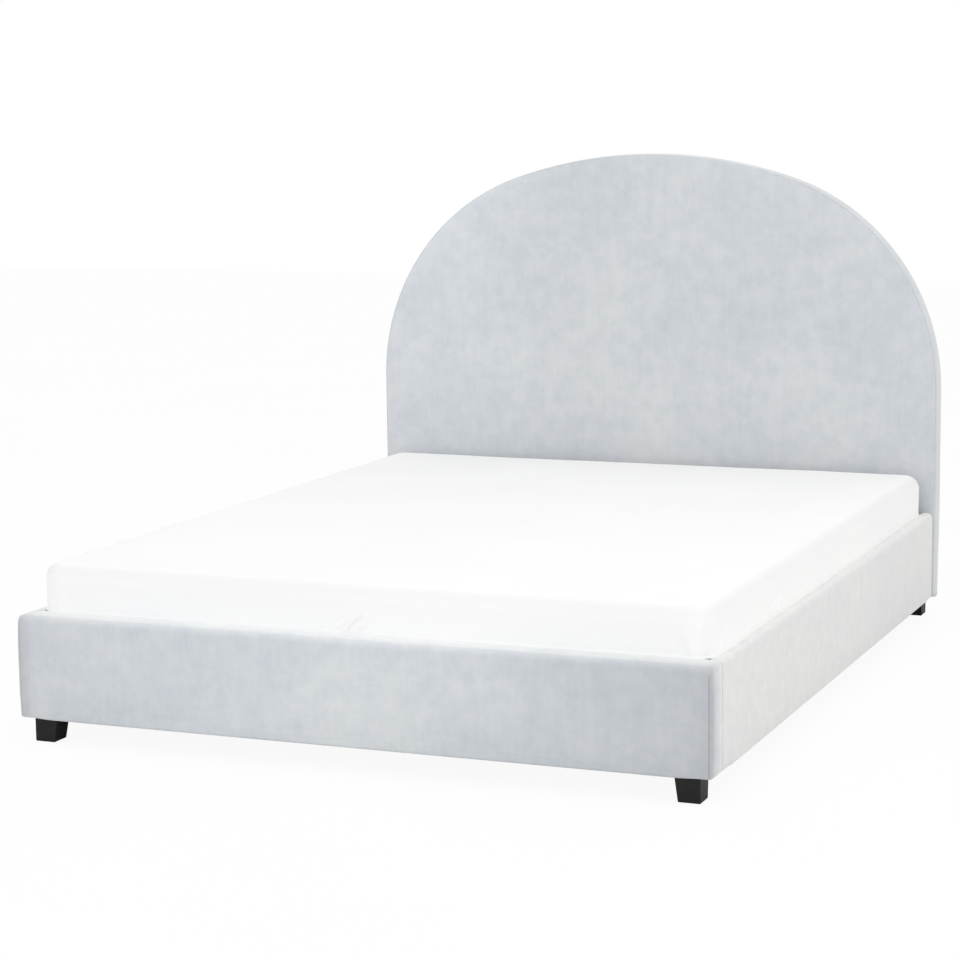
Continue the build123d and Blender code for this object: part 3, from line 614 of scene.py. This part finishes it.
def mattress_ring(inset, grow):
    """The mattress's plan outline drawn in by inset and grown by grow, as (x, y) points."""
    radius = max(CORNER_RADIUS + grow - inset, 2 * MM)
    across = bed_high.x + grow - inset - radius
    along = bed_half + grow - inset - radius
    count_x = round(2 * (bed_high.x - CORNER_RADIUS) / PANEL_STEP)
    count_y = round(2 * (bed_half - CORNER_RADIUS) / PANEL_STEP)
    signs = ((1, 1), (-1, 1), (-1, -1), (1, -1))
    middles = [(x * across, bed_middle + y * along) for x, y in signs]
    ring = []
    for quarter, (x, y) in enumerate(middles):
        for i in range(CORNER_TURNS + 1):
            angle = pi / 2 * (quarter + i / CORNER_TURNS)
            ring.append((x + radius * cos(angle), y + radius * sin(angle)))
        x, y = middles[(quarter + 1) % 4]
        start = Vector(ring[-1])
        end = Vector((x + radius * cos(angle), y + radius * sin(angle)))
        count = count_x if quarter % 2 == 0 else count_y
        ring += [tuple(start.lerp(end, i / count)) for i in range(1, count)]
    return ring


def hex_points(ring, step):
    """Evenly spread points inside a ring, kept off its edge."""
    margin = step * EDGE_GAP
    xs, ys = zip(*ring)
    edges = list(zip(ring, ring[1:] + ring[:1]))
    found = []
    row = 0
    y = min(ys) + margin
    while y < max(ys) - margin:
        crossings = []
        for offset in (-margin, 0, margin):
            level = y + offset
            cuts = sorted(
                a[0] + (level - a[1]) * (b[0] - a[0]) / (b[1] - a[1])
                for a, b in edges
                if (a[1] > level) != (b[1] > level)
            )
            crossings.append(cuts)
        if all(len(cuts) >= 2 for cuts in crossings):
            left = max(cuts[0] for cuts in crossings) + margin
            right = min(cuts[-1] for cuts in crossings) - margin
            x = min(xs) + (row % 2) * step / 2
            while x < right:
                if x > left:
                    found.append((x, y))
                x += step
        row += 1
        y += step * sqrt(3) / 2
    return found


def fill_ring(points, ring, ids, place, step, loops=()):
    """Faces that close a ring with even triangles, whose edges follow the given loops too."""
    flat, edges = [], []
    for outline in (ring, *loops):
        start, count = len(flat), len(outline)
        flat += [Vector(p) for p in outline]
        edges += [(start + i, start + (i + 1) % count) for i in range(count)]
    gap = step * LOOP_GAP
    for point in hex_points(ring, step):
        near = any(
            abs(point[0] - x) < gap and abs(point[1] - y) < gap for loop in loops for x, y in loop
        )
        if not near:
            flat.append(Vector(point))
    verts, _, tris, origins, _, _ = delaunay_2d_cdt(flat, edges, [], 1, 1e-7)
    lookup = []
    for vertex, origin in zip(verts, origins):
        known = [o for o in origin if o < len(ring)]
        if known:
            lookup.append(ids[known[0]])
        else:
            lookup.append(len(points))
            points.append(Vector(place(vertex.x, vertex.y)))
    return [[lookup[i] for i in tri] for tri in tris]


def wall(lower, upper):
    """Faces between two rings of points, given by their ids."""
    return list(zip(lower, lower[1:] + lower[:1], upper[1:] + upper[:1], upper))


def stack_rings(rings, place):
    """Points, faces and the ids of each ring of a skin through (ring, level) pairs."""
    points, faces, ids = [], [], []
    for ring, level in rings:
        start = len(points)
        points += [Vector(place(x, y, level)) for x, y in ring]
        ids.append(list(range(start, start + len(ring))))
    for lower, upper in zip(ids, ids[1:]):
        faces += wall(lower, upper)
    return points, faces, ids


def thinned_copy(obj):
    """A copy of a piece with far fewer points, for a quick simulation."""
    copy = obj.copy()
    bpy.context.scene.collection.objects.link(copy)
    thin = copy.modifiers.new("thin", "DECIMATE")
    thin.ratio = SWELL_SHARE
    graph = bpy.context.evaluated_depsgraph_get()
    mesh = bpy.data.meshes.new_from_object(copy.evaluated_get(graph))
    copy.modifiers.remove(thin)
    copy.data = mesh
    return copy


def swell(obj, free, pressure, cap):
    """Lets a cloth simulation puff out the free part of a piece, each point by no more than cap."""
    copy = thinned_copy(obj)
    held = copy.vertex_groups.new(name="held")
    for vertex in copy.data.vertices:
        held.add([vertex.index], 1 - free(vertex.co), "REPLACE")
    cloth = copy.modifiers.new("cloth", "CLOTH")
    cloth.settings.uniform_pressure_force = pressure
    cloth.settings.effector_weights.gravity = 0
    for setting, value in SWELL_SETTINGS.items():
        setattr(cloth.settings, setting, value)
    cloth.point_cache.frame_end = SWELL_FRAMES
    for step in range(1, SWELL_FRAMES + 1):
        bpy.context.scene.frame_set(step)
    shaped = copy.evaluated_get(bpy.context.evaluated_depsgraph_get()).to_mesh()
    tree = KDTree(len(copy.data.vertices))
    outward = []
    for vertex, moved in zip(copy.data.vertices, shaped.vertices):
        tree.insert(vertex.co, vertex.index)
        outward.append(max(0, (moved.co - vertex.co).dot(vertex.normal)))
    tree.balance()
    for vertex in obj.data.vertices:
        weight = free(vertex.co)
        if weight > 0:
            found = tree.find_n(vertex.co, SWELL_NEIGHBOURS)
            near = [(1 / (gap + MM), outward[index]) for _, index, gap in found]
            out = sum(share * value for share, value in near) / sum(share for share, _ in near)
            vertex.co += vertex.normal * min(out, cap * weight)
    bpy.context.scene.frame_set(1)
    bpy.data.objects.remove(copy)


def thread_line(name, points, look="thread", radius=THREAD_RADIUS, closed=False):
    """A seam's line, or a dark line of painted shade: a thin tube through the given points."""
    curve = bpy.data.curves.new(name, "CURVE")
    curve.dimensions = "3D"
    curve.bevel_depth = radius
    curve.bevel_resolution = 1
    spline = curve.splines.new("POLY")
    spline.points.add(len(points) - 1)
    for slot, point in zip(spline.points, points):
        slot.co = (*point, 1)
    spline.use_cyclic_u = closed
    curve.materials.append(looks[look])
    obj = add_object(name, curve)
    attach(obj, "bedstead")


# Padded panels


def is_bare(along, level, reach):
    """Whether a place on an inner face is in the strip that the fabric leaves bare."""
    return abs(along) < reach and bare_low < level < bare_high


STRIP_EDGES = [bare_low - 0.2 * MM, bare_low + 0.2 * MM, bare_high - 0.2 * MM, bare_high + 0.2 * MM]


def uneven(point, seed, ripple_seed):
    """How far a panel's cloth stands out or in at a place."""
    ripple = RIPPLE_HEIGHT * wave(point, RIPPLE_LENGTH, ripple_seed)
    return WAVE_HEIGHT * wave(point, WAVE_LENGTH, seed) + ripple


def tallness(level, low, high):
    """0 at a panel's base and top, and 1 between them."""
    return fade(level - low, EDGE_FADE) * fade(high - level, EDGE_FADE)


def finish_panel(panel, free, tone, pressure=0.05, cap=2.2 * MM):
    """Puffs a panel out, paints light and shade onto its cloth and marks it as a padded part of the
    bedstead.
    """
    swell(panel, free, pressure, cap)
    paint_light_and_shade(panel, tone)
    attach(panel, "bedstead")


def make_footboard():
    """The padded footboard: soft along its top, with a seam down each front corner."""
    wide, deep = FOOT_CORNER
    radii = ((wide, wide), (deep, JOINT_RADIUS), (6 * MM, FOOT_LIP[1]))
    extra = ([-board_face, board_face], [], STRIP_EDGES)
    points, faces = rounded_box(foot_low, foot_high, radii, extra)
    for point in points:
        inward = fade(foot_high.x - abs(point.x), EDGE_FADE)
        tall = tallness(point.z, foot_low.z, foot_high.z)
        shift = uneven(point, 0, 3)
        soft = inward * (EDGE_SHARE + (1 - EDGE_SHARE) * tall) * SOFT_BULGE
        point.y -= fade(foot_low.y + FACE_DEPTH - point.y, FACE_DEPTH) * (soft + shift)
        if point.z > foot_high.z - FOOT_LIP[1] and point.y < foot_high.y - 12 * MM:
            point.z += (TOP_BULGE * inward + shift) * fade(foot_high.y - point.y, 30 * MM)
        side = abs(point.x) - (foot_high.x - wide)
        front = foot_low.y + deep - point.y
        if abs(point.x) > foot_high.x - 2 * MM:
            forward = fade(foot_high.y - point.y, 24 * MM)
            point.x *= 1 + FOOT_SPREAD * tall * forward / foot_high.x
        if side > 0 and front > 0:
            around = (atan2(front / deep, side / wide) - SEAM_TURN) * (wide + deep) / 2
            below_top = fade(foot_high.z - 12 * MM - point.z, 14 * MM)
            dig = SEAM_DEPTH * exp(-((around / SEAM_WIDTH) ** 2)) * below_top * 0.7
            point.x -= dig * (1 if point.x > 0 else -1)
            point.y += dig
        if point.y > foot_high.y - 0.1 * MM and is_bare(point.x, point.z, board_face):
            point.y -= BARE_DENT
    panel = make_object("footboard_padding", points, faces, "upholstery")

    def free(point):
        front = point.y < foot_low.y + 6 * MM
        return front * fade(foot_high.x - 25 * MM - abs(point.x), 60 * MM)

    # Painted light and shade: the end faces darker towards the front, the face darker away from the
    # middle, at the left end, near both ends and towards the base, and a painted sheen lighter along
    # the top
    def tone(point):
        depth = (point.y - foot_low.y) / (foot_high.y - foot_low.y)
        if abs(point.x) > foot_high.x - 4 * MM:
            return 0.42 * depth - 0.27
        off_middle = ((point.x + 0.15) / 0.95) ** 2
        left_end = 1 - fade(foot_high.x + point.x, 45 * MM)
        either_end = 1 - fade(foot_high.x - abs(point.x), 60 * MM)
        base = 1 - fade(point.z - foot_low.z, 90 * MM)
        top = fade(point.z - foot_high.z + 14 * MM, 14 * MM) * (0.05 + 0.36 * min(1, max(0, depth)))
        return 0.06 - 0.20 * off_middle - 0.10 * left_end - 0.06 * either_end - 0.03 * base + top

    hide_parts("footboard_cover", "footboard_foam")
    finish_panel(panel, free, tone)
    corner_x = foot_high.x - wide * (1 - cos(SEAM_TURN)) - 0.8 * MM
    corner_y = foot_low.y + deep * (1 - sin(SEAM_TURN)) + 1.1 * MM
    levels = spaced(foot_low.z + 5 * MM, foot_high.z - 16 * MM, 20 * MM)
    for side, name in ((-1, "left"), (1, "right")):
        thread_line(f"footboard_seam_{name}", [(side * corner_x, corner_y, z) for z in levels])


def make_side_rail(side, name):
    """A padded side rail: soft along its top and turned in at both ends."""
    radii = ((RAIL_LIP[0], RAIL_EDGE), (JOINT_RADIUS, 6 * MM), (5 * MM, RAIL_LIP[1]))
    points, faces = rounded_box(rail_low, rail_high, radii, ([], [], STRIP_EDGES))
    for point in points:
        ends = fade(point.y - rail_low.y, END_FADE) * fade(rail_high.y - point.y, END_FADE)
        tall = tallness(point.z, rail_low.z, rail_high.z)
        shift = uneven(point, 5 * side, 7)
        soft = (EDGE_SHARE + (1 - EDGE_SHARE) * tall) * SOFT_BULGE * 0.8
        point.x += fade(point.x - rail_high.x + FACE_DEPTH, FACE_DEPTH) * ends * (soft + shift)
        if point.z > rail_high.z - 12 * MM and point.x > inner_face + 4 * MM:
            point.z += (TOP_BULGE + shift) * ends
        if point.x < inner_face + 0.1 * MM and is_bare(0, point.z, 1):
            point.x += BARE_DENT
    for point in points:
        point.x *= side
    panel = make_object(f"side_rail_padding_{name}", points, faces, "rail_upholstery_painted_sheen")

    def free(point):
        outer = abs(point.x) > rail_high.x - 6 * MM
        length = fade(point.y - rail_low.y - 15 * MM, 60 * MM)
        return outer * length * fade(rail_high.y - 15 * MM - point.y, 60 * MM)

    # Painted light and shade: a painted sheen lighter along the rail's top, darker towards its base
    def tone(point):
        top = fade(point.z - rail_high.z + 12 * MM, 12 * MM)
        base = 1 - fade(point.z - rail_low.z, 60 * MM)
        return 0.14 * top - 0.03 * base

    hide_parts(f"side_rail_cover_{name}", f"side_rail_foam_{name}")
    finish_panel(panel, free, tone)


def make_joint_lines():
    """Painted shade: a dark line in each joint between the footboard and a rail, over the top and down.
    """
    outer, top = rail_high.x - 3.2 * MM, rail_high.z - 1.4 * MM
    line = [(inner_face + 5 * MM, top)]
    line += [(outer - LINE_RADIUS * out, top - LINE_RADIUS * down) for out, down in quarter_turn(6)]
    line += [(outer, z) for z in reversed(spaced(rail_low.z + 4 * MM, top - 20 * MM, 40 * MM))]
    for side, name in ((-1, "left"), (1, "right")):
        points = [(side * x, foot_high.y, z) for x, z in line]
        thread_line(f"rail_joint_shade_{name}", points, radius=JOINT_SHADE_RADIUS)


def make_headboard():
    """The padded headboard: a gently crowned face, seamed to the strip that runs round its edge."""
    front, back = head_low.y, head_high.y
    hem = HEM - 0.3 * MM
    hem_y = back - 2 * MM
    profile = [(hem, hem_y), (hem, back), (12 * MM, back)]
    profile += [(BACK_EDGE * out, back - BACK_EDGE * depth) for out, depth in quarter_turn(4)]
    profile += [(-out, back - depth) for depth, out in STRIP_SWELL]
    for i in range(13):
        angle = pi / 2 * i / 12
        around = (angle - pi / 4) * HEAD_EDGE
        radius = HEAD_EDGE - HEAD_SEAM_DEPTH * exp(-((around / SEAM_WIDTH) ** 2))
        profile.append((HEAD_EDGE - radius * cos(angle), front + HEAD_EDGE - radius * sin(angle)))
    profile += [(inset, front - out) for inset, out in FACE_SWELL]
    rings = [(arch_ring(inset), level) for inset, level in profile]
    face_swell = FACE_SWELL[-1][1]

    def spread(x, z):
        return x * (1 + HEAD_SPREAD / head_high.x * fade(z - head_low.z, SPREAD_FADE))

    points, faces, ids = stack_rings(rings, lambda x, z, y: (spread(x, z), y, z))
    strips = []
    for grow in (0, 0.4 * MM):
        x, low, high = board_face - grow, bare_low + grow, bare_high - grow
        across = spaced(-x, x)
        up = spaced(low, high)[1:-1]
        loop = [(v, low) for v in across] + [(x, v) for v in up]
        strips.append(loop + [(v, high) for v in reversed(across)] + [(-x, v) for v in reversed(up)])
    start = len(points)
    faces += fill_ring(
        points, rings[-1][0], ids[-1], lambda x, z: (x, front - face_swell, z), PANEL_STEP, strips
    )
    for point in points[start:]:
        flat = 1 - fade(abs(point.x) - inner_face + 40 * MM, 60 * MM)
        low = 1 - fade(point.z - bare_high - 150 * MM, 120 * MM)
        calm = max(0, flat * low)
        point.y += calm * face_swell - (1 - calm) * SOFT_BULGE * 0.6
        point.y += (1 - calm) * WAVE_HEIGHT * wave(point, WAVE_LENGTH * 1.4, 11)
        inside = bare_low + 0.3 * MM < point.z < bare_high - 0.3 * MM
        if inside and is_bare(point.x, point.z, board_face - 0.3 * MM):
            point.y = front + BARE_DENT
    faces += fill_ring(points, rings[0][0], ids[0], lambda x, z: (spread(x, z), hem_y, z), 60 * MM)
    panel = make_object("headboard_padding", points, faces, "upholstery")

    def free(point):
        if point.y > front + 4 * MM:
            return 0
        across = fade(head_high.x - 40 * MM - abs(point.x), 60 * MM)
        return across * fade(point.z - rail_high.z - 60 * MM, 80 * MM)

    # Painted light and shade: a painted highlight round the left shoulder, lighter over the left half,
    # darker towards the base
    def tone(point):
        reach = hypot(abs(point.x) - shoulder_x, point.z - SHINE_LEVEL)
        edge = 1 - fade(SHOULDER_RADIUS - reach, 50 * MM)
        left_shoulder = edge * fade(-point.x - 0.2, 0.2) * fade(point.z - 0.75, 0.2)
        left_half = fade(-point.x - 0.25, 0.35)
        base = 1 - fade(point.z - 0.40, 0.25)
        return 0.08 * left_shoulder + 0.08 * left_half - 0.03 * base

    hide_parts("headboard_cover", "headboard_foam")
    finish_panel(panel, free, tone, pressure=0.25, cap=2.4 * MM)
    sunk = HEAD_EDGE - (HEAD_EDGE - HEAD_SEAM_DEPTH + 0.3 * MM) * cos(pi / 4)
    line = [(spread(x, z), front + sunk, z) for x, z in arch_ring(sunk)]
    thread_line("headboard_seam", line, "pale_thread", PALE_THREAD_RADIUS, closed=True)


# Mattress and sheet


def crease(point, start, end, width, height):
    """Height of a pinched fold along a line between two points, tapering to both ends."""
    start, end = Vector(start), Vector(end)
    along = end - start
    share = (point - start).dot(along) / along.length_squared
    if not -0.1 < share < 1.1:
        return 0
    foot = start + along * share
    distance = (point - foot).length
    taper = sin(pi * min(1, max(0, share))) ** 0.7
    ridge = exp(-((distance / width) ** 2))
    valley = exp(-(((distance - 2.2 * width) / (1.3 * width)) ** 2))
    return height * taper * (ridge - 0.45 * valley)


# Folds of the sheet in millimetres: ends (along, level), half width and height;
# and the share of their height that they rise where the sheet faces up
FOLD_LIFT = 0.3
FOOT_FOLDS = (
    ((-34, 301), (14, 346), 3.0, 5.2),
    ((-8, 301), (30, 330), 2.8, 3.6),
    ((-62, 304), (-22, 330), 4.0, 1.9),
    ((-640, 300), (-604, 350), 7.0, 1.6),
    ((-590, 300), (-566, 338), 6.0, 1.3),
    ((540, 302), (566, 340), 7.0, 1.2),
    ((768, 300), (748, 372), 10.0, 2.0),
    ((-768, 300), (-748, 372), 10.0, 2.0),
)
SIDE_FOLDS = (
    ((-560, 302), (-505, 356), 4.5, 3.0),
    ((-520, 300), (-470, 344), 4.5, 2.4),
    ((-940, 298), (-920, 380), 7.0, 2.8),
    ((120, 302), (152, 356), 6.0, 1.8),
    ((945, 300), (925, 380), 7.0, 2.6),
)


def fold_height(point):
    """How far the sheet stands out in its folds, near the foot's middle and at the corners."""
    height = 0
    if point.y < bed_low.y + 10 * MM:
        for (x0, z0), (x1, z1), width, rise in FOOT_FOLDS:
            ends = ((x0 * MM, point.y, z0 * MM), (x1 * MM, point.y, z1 * MM))
            height += crease(point, *ends, width * MM, rise * MM)
    if abs(point.x) > bed_high.x - 10 * MM:
        for (y0, z0), (y1, z1), width, rise in SIDE_FOLDS:
            ends = ((point.x, y0 * MM, z0 * MM), (point.x, y1 * MM, z1 * MM))
            height += crease(point, *ends, width * MM, rise * MM)
    return height


def reach_over(level, gap, lip):
    """How far bedding may swell across a gap and over a panel's rounded edge, at a level."""
    reach, drop = lip
    under = rail_high.z - level
    if under < SHEET_SINK:
        return 1
    share = min(1, max(0, 1 - under / drop))
    return gap + reach * (1 - sqrt(1 - share**2)) - LIP_CLEAR


def bulge(point):
    """How the bedding swells out over the rails and the footboard, above their tops."""
    rise = fade(point.z - rail_high.z + BULGE_START, BULGE_RISE)
    if rise == 0:
        return Vector((0, 0, 0))
    across = point.x / bed_high.x
    along = (point.y - bed_middle) / bed_half
    end = HEAD_BULGE if along > 0 else FOOT_BULGE + 2.5 * MM * wave(point, 200 * MM, 6)
    side = SIDE_BULGE - SIDE_BULGE_SPREAD * along + 2 * MM * wave(point, 300 * MM, 4)
    flare = SHEET_FLARE * (1 - fade(point.z - rail_high.z, FLARE_HEIGHT))
    side += flare
    if along < 0:
        end += flare
    side = min(side * rise, reach_over(point.z, inner_face - bed_high.x - SHEET_OVER, RAIL_LIP))
    end = min(end * rise, reach_over(point.z, bed_low.y - foot_high.y - SHEET_OVER, FOOT_LIP))
    out_x = side * across * fade(abs(across) - 0.6, 0.36)
    out_y = end * along * fade(abs(along) - 0.6, 0.36)
    return Vector((out_x, out_y, 0))


def mattress_profile(low, grow):
    """(inset, level) pairs from a base level up the side of the mattress and over its top edge."""
    rim = bed_high.z - CROWN_RISE + grow
    radius = BASE_RADIUS + grow
    pairs = [(radius * out, low + radius * up) for out, up in quarter_turn(5)]
    radius = TOP_RADIUS + grow
    levels = spaced(low + BASE_RADIUS, rail_high.z - 8 * MM, 8 * MM)
    levels += spaced(rail_high.z - 8 * MM, rail_high.z + 10 * MM, 1.5 * MM)[1:-1]
    levels += spaced(rail_high.z + 10 * MM, rim - radius, 6 * MM)
    pairs += [(0, level) for level in levels[1:-1]]
    return pairs + [(radius * inset, rim - radius * down) for down, inset in quarter_turn(10)]


def crown_height(point):
    """The mattress's low crown, highest in the middle and gone at the rim."""
    across = 1 - min(1, abs(point.x) / (bed_high.x - TOP_RADIUS)) ** 2
    along = 1 - min(1, abs(point.y - bed_middle) / (bed_half - TOP_RADIUS)) ** 2
    return CROWN_RISE * min(1, 1.25 * across) * min(1, 1.25 * along)


def crease_sheet(sheet):
    """Refines the sheet's mesh round its folds and raises them out of its sides."""
    work = bmesh.new()
    work.from_mesh(sheet.data)
    near = {v for v in work.verts if abs(fold_height(v.co)) > 0.05 * MM}
    edges = [e for e in work.edges if e.verts[0] in near or e.verts[1] in near]
    bmesh.ops.subdivide_edges(work, edges=edges, cuts=3, use_grid_fill=True)
    work.normal_update()
    shifts = []
    for vert in work.verts:
        height = fold_height(vert.co)
        height += 0.6 * MM * wave(vert.co, 110 * MM, 9) * fade(vert.co.z - rail_high.z, 40 * MM)
        shifts.append(vert.normal * Vector((1, 1, FOLD_LIFT)) * height)
    for vert, shift in zip(work.verts, shifts):
        vert.co += shift
    work.to_mesh(sheet.data)
    work.free()
    sheet.data.shade_smooth()


def bedding_skin(pairs, grow, step, ripple):
    """Points, faces and the rim's level of a skin over the mattress, from (inset, level) pairs."""
    rings = [(mattress_ring(inset, grow), level) for inset, level in pairs]
    points, faces, ids = stack_rings(rings, lambda x, y, z: (x, y, z))
    top, rim = rings[-1]
    faces += fill_ring(points, top, ids[-1], lambda x, y: (x, y, rim), step)
    if grow < 0:
        base, level = rings[0]
        faces += fill_ring(points, base, ids[0], lambda x, y: (x, y, level), step)
    for point in points:
        if point.z > rim - 0.5 * MM:
            point.z += crown_height(point) + ripple * wave(point, 300 * MM, 2)
        point += bulge(point)
    return points, faces, rim


def make_bedding():
    """The mattress and the fitted sheet stretched over it."""
    pairs = mattress_profile(bed_low.z, -SHEET_CLEAR)
    points, faces, _ = bedding_skin(pairs, -SHEET_CLEAR, FILL_STEP, 0)
    mattress = make_object("mattress_padding", points, faces, "mattress")
    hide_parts("mattress")
    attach(mattress, "bedding")

    low = bed_low.z - SHEET_OVER
    pairs = [(TUCK - i * 6 * MM, low) for i in range(5)] + mattress_profile(low, SHEET_OVER)
    points, faces, rim = bedding_skin(pairs, SHEET_OVER, PANEL_STEP, 1.2 * MM)
    sheet = make_object("fitted_sheet_cloth", points, faces, "sheet")

    # Painted light and shade: a little lighter on top, darker round the rounded top edge in place of
    # its highlight, lighter low on the sides against the shade there, darker where the sheet meets the
    # panels' tops and down the right side
    def tone(point):
        turn = min(1, max(0, (point.z - rim + TOP_RADIUS) / TOP_RADIUS))
        top = fade(turn - 0.9, 0.1)
        edge = sin(pi * turn**1.5)
        lower = 1 - fade(point.z - rail_high.z, 70 * MM)
        contact = 1 - fade(point.z - rail_high.z, 10 * MM)
        right = fade(point.x - bed_high.x + 20 * MM, 20 * MM) * (1 - turn)
        return 0.012 * top - 0.075 * edge + 0.035 * lower - 0.05 * contact - 0.04 * right

    crease_sheet(sheet)
    paint_light_and_shade(sheet, tone)
    thick = sheet.modifiers.new("thickness", "SOLIDIFY")
    thick.thickness = 0.7 * MM
    thick.offset = -1
    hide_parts("fitted_sheet")
    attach(sheet, "bedding")


# Small fasteners of the slatted base


def add_bolt(points, faces, place, axis, radius, height):
    """Adds a domed bolt head with a six-sided socket, standing on place along axis."""
    turn = Vector((0, 0, 1)).rotation_difference(Vector(axis)).to_matrix()
    start = len(points)
    for share, level in BOLT_PROFILE:
        for i in range(BOLT_SEGMENTS):
            angle = 2 * pi * i / BOLT_SEGMENTS
            reach = share * radius
            if share < SOCKET_SHARE:
                reach *= cos(pi / 6) / cos((angle + pi / 6) % (pi / 3) - pi / 6)
            local = Vector((reach * cos(angle), reach * sin(angle), level * height))
            points.append(Vector(place) + turn @ local)
    firsts = range(start, len(points), BOLT_SEGMENTS)
    rings = [list(range(first, first + BOLT_SEGMENTS)) for first in firsts]
    for lower, upper in zip(rings, rings[1:]):
        faces += wall(lower, upper)
    faces += [rings[-1], rings[0][::-1]]


def make_fasteners():
    """Bolts of the corner brackets and hangers, and screws along the steel angles."""
    points, faces = [], []
    middle = (bracket_low.z + bracket_high.z) / 2
    arms = (bracket_low.y + BRACKET_ARM, bracket_high.y - BRACKET_ARM)
    walls = ((1, bracket_low.y + BRACKET_WALL), (-1, bracket_high.y - BRACKET_WALL))
    hangers = ((1, hanger_low.y + ANGLE_WALL), (-1, hanger_high.y - ANGLE_WALL))
    hanger_levels = (hanger_low.z + HANGER_INSET, hanger_high.z - HANGER_INSET)
    screw_z = ledger_low.z + SCREW_LEVEL
    screws = spaced(ledger_low.y + SCREW_END, ledger_high.y - SCREW_END, SCREW_STEP)
    for side in (-1, 1):
        for level in (middle - BOLT_RISE, middle + BOLT_RISE):
            for y in arms:
                place = (side * (bracket_high.x - BRACKET_WALL), y, level)
                add_bolt(points, faces, place, (-side, 0, 0), *BRACKET_BOLT)
            for end, y in walls:
                place = (side * (bracket_high.x - BRACKET_ARM), y, level)
                add_bolt(points, faces, place, (0, end, 0), *BRACKET_BOLT)
        for y in screws:
            place = (side * (board_face - ANGLE_WALL), y, screw_z)
            add_bolt(points, faces, place, (-side, 0, 0), *LEDGER_SCREW)
        for end, y in hangers:
            for level in hanger_levels:
                add_bolt(points, faces, (side * HANGER_X, y, level), (0, end, 0), *HANGER_BOLT)
    bolts = make_object("base_fasteners", points, faces, "screw")
    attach(bolts, "bedstead")


make_headboard()
make_footboard()
make_side_rail(1, "right")
make_side_rail(-1, "left")
make_joint_lines()
make_bedding()
make_fasteners()


# Floor, light and camera


def make_floor():
    """A pale floor that shows white to the camera where nothing shades it."""
    mesh = bpy.data.meshes.new("floor")
    corners = [(x * FLOOR_REACH, y * FLOOR_REACH, 0) for x, y in ((-1, -1), (1, -1), (1, 1), (-1, 1))]
    mesh.from_pydata(corners, [], [(0, 1, 2, 3)])
    floor = add_object("floor", mesh)
    paint = Paint("floor", 0.9)
    paint.colour(paint.tones(1.5, (0.4, grey(0.90)), (0.6, grey(0.93))))
    white = paint.node("Emission")
    mix = paint.node("MixShader")
    path = paint.node("LightPath")
    share = paint.node("Math", operation="MULTIPLY")
    share.inputs[1].default_value = FLOOR_WHITE
    paint.link(path.outputs["Is Camera Ray"], share.inputs[0])
    paint.link(share.outputs["Value"], mix.inputs["Fac"])
    paint.link(paint.shader.outputs["BSDF"], mix.inputs[1])
    paint.link(white.outputs["Emission"], mix.inputs[2])
    paint.link(mix.outputs["Shader"], paint.tree.nodes["Material Output"].inputs["Surface"])
    mesh.materials.append(paint.material)
    floor.location.z = min(0, cad_box[0][2]) - 0.5 * MM


def make_world():
    """An even pale surround, seen as white by the camera."""
    world = bpy.data.worlds.new("studio")
    bpy.context.scene.world = world
    world.use_nodes = True
    tree = world.node_tree
    tree.nodes.clear()
    new, link = tree.nodes.new, tree.links.new
    out = new("ShaderNodeOutputWorld")
    mix = new("ShaderNodeMixShader")
    path = new("ShaderNodeLightPath")
    link(path.outputs["Is Camera Ray"], mix.inputs["Fac"])
    backgrounds = ((SURROUND_COLOUR, SURROUND_STRENGTH), (grey(1), 1))
    for socket, (colour, strength) in enumerate(backgrounds, 1):
        background = new("ShaderNodeBackground")
        set_inputs(background, Color=(*colour, 1), Strength=strength)
        link(background.outputs["Background"], mix.inputs[socket])
    link(mix.outputs["Shader"], out.inputs["Surface"])


def make_lamp(name, place, target, power, colour):
    """A large soft lamp aimed at a point."""
    data = bpy.data.lights.new(name, "AREA")
    data.shape = "SQUARE"
    data.size = LAMP_SIZE
    data.energy = power
    data.color = colour
    lamp = add_object(name, data)
    lamp.location = place
    lamp.rotation_euler = (Vector(target) - Vector(place)).to_track_quat("-Z", "Y").to_euler()


def make_camera():
    """The photograph's camera."""
    data = bpy.data.cameras.new("camera")
    data.lens = CAMERA_LENS
    camera = add_object("camera", data)
    matrix = Matrix.Translation(CAMERA_PLACE)
    for angle, axis in CAMERA_TURNS:
        matrix @= Matrix.Rotation(radians(angle), 4, axis)
    camera.matrix_world = matrix
    bpy.context.scene.camera = camera


make_floor()
make_world()
for lamp in LAMPS:
    make_lamp(*lamp)
make_camera()

bpy.context.scene.view_settings.view_transform = "Standard"
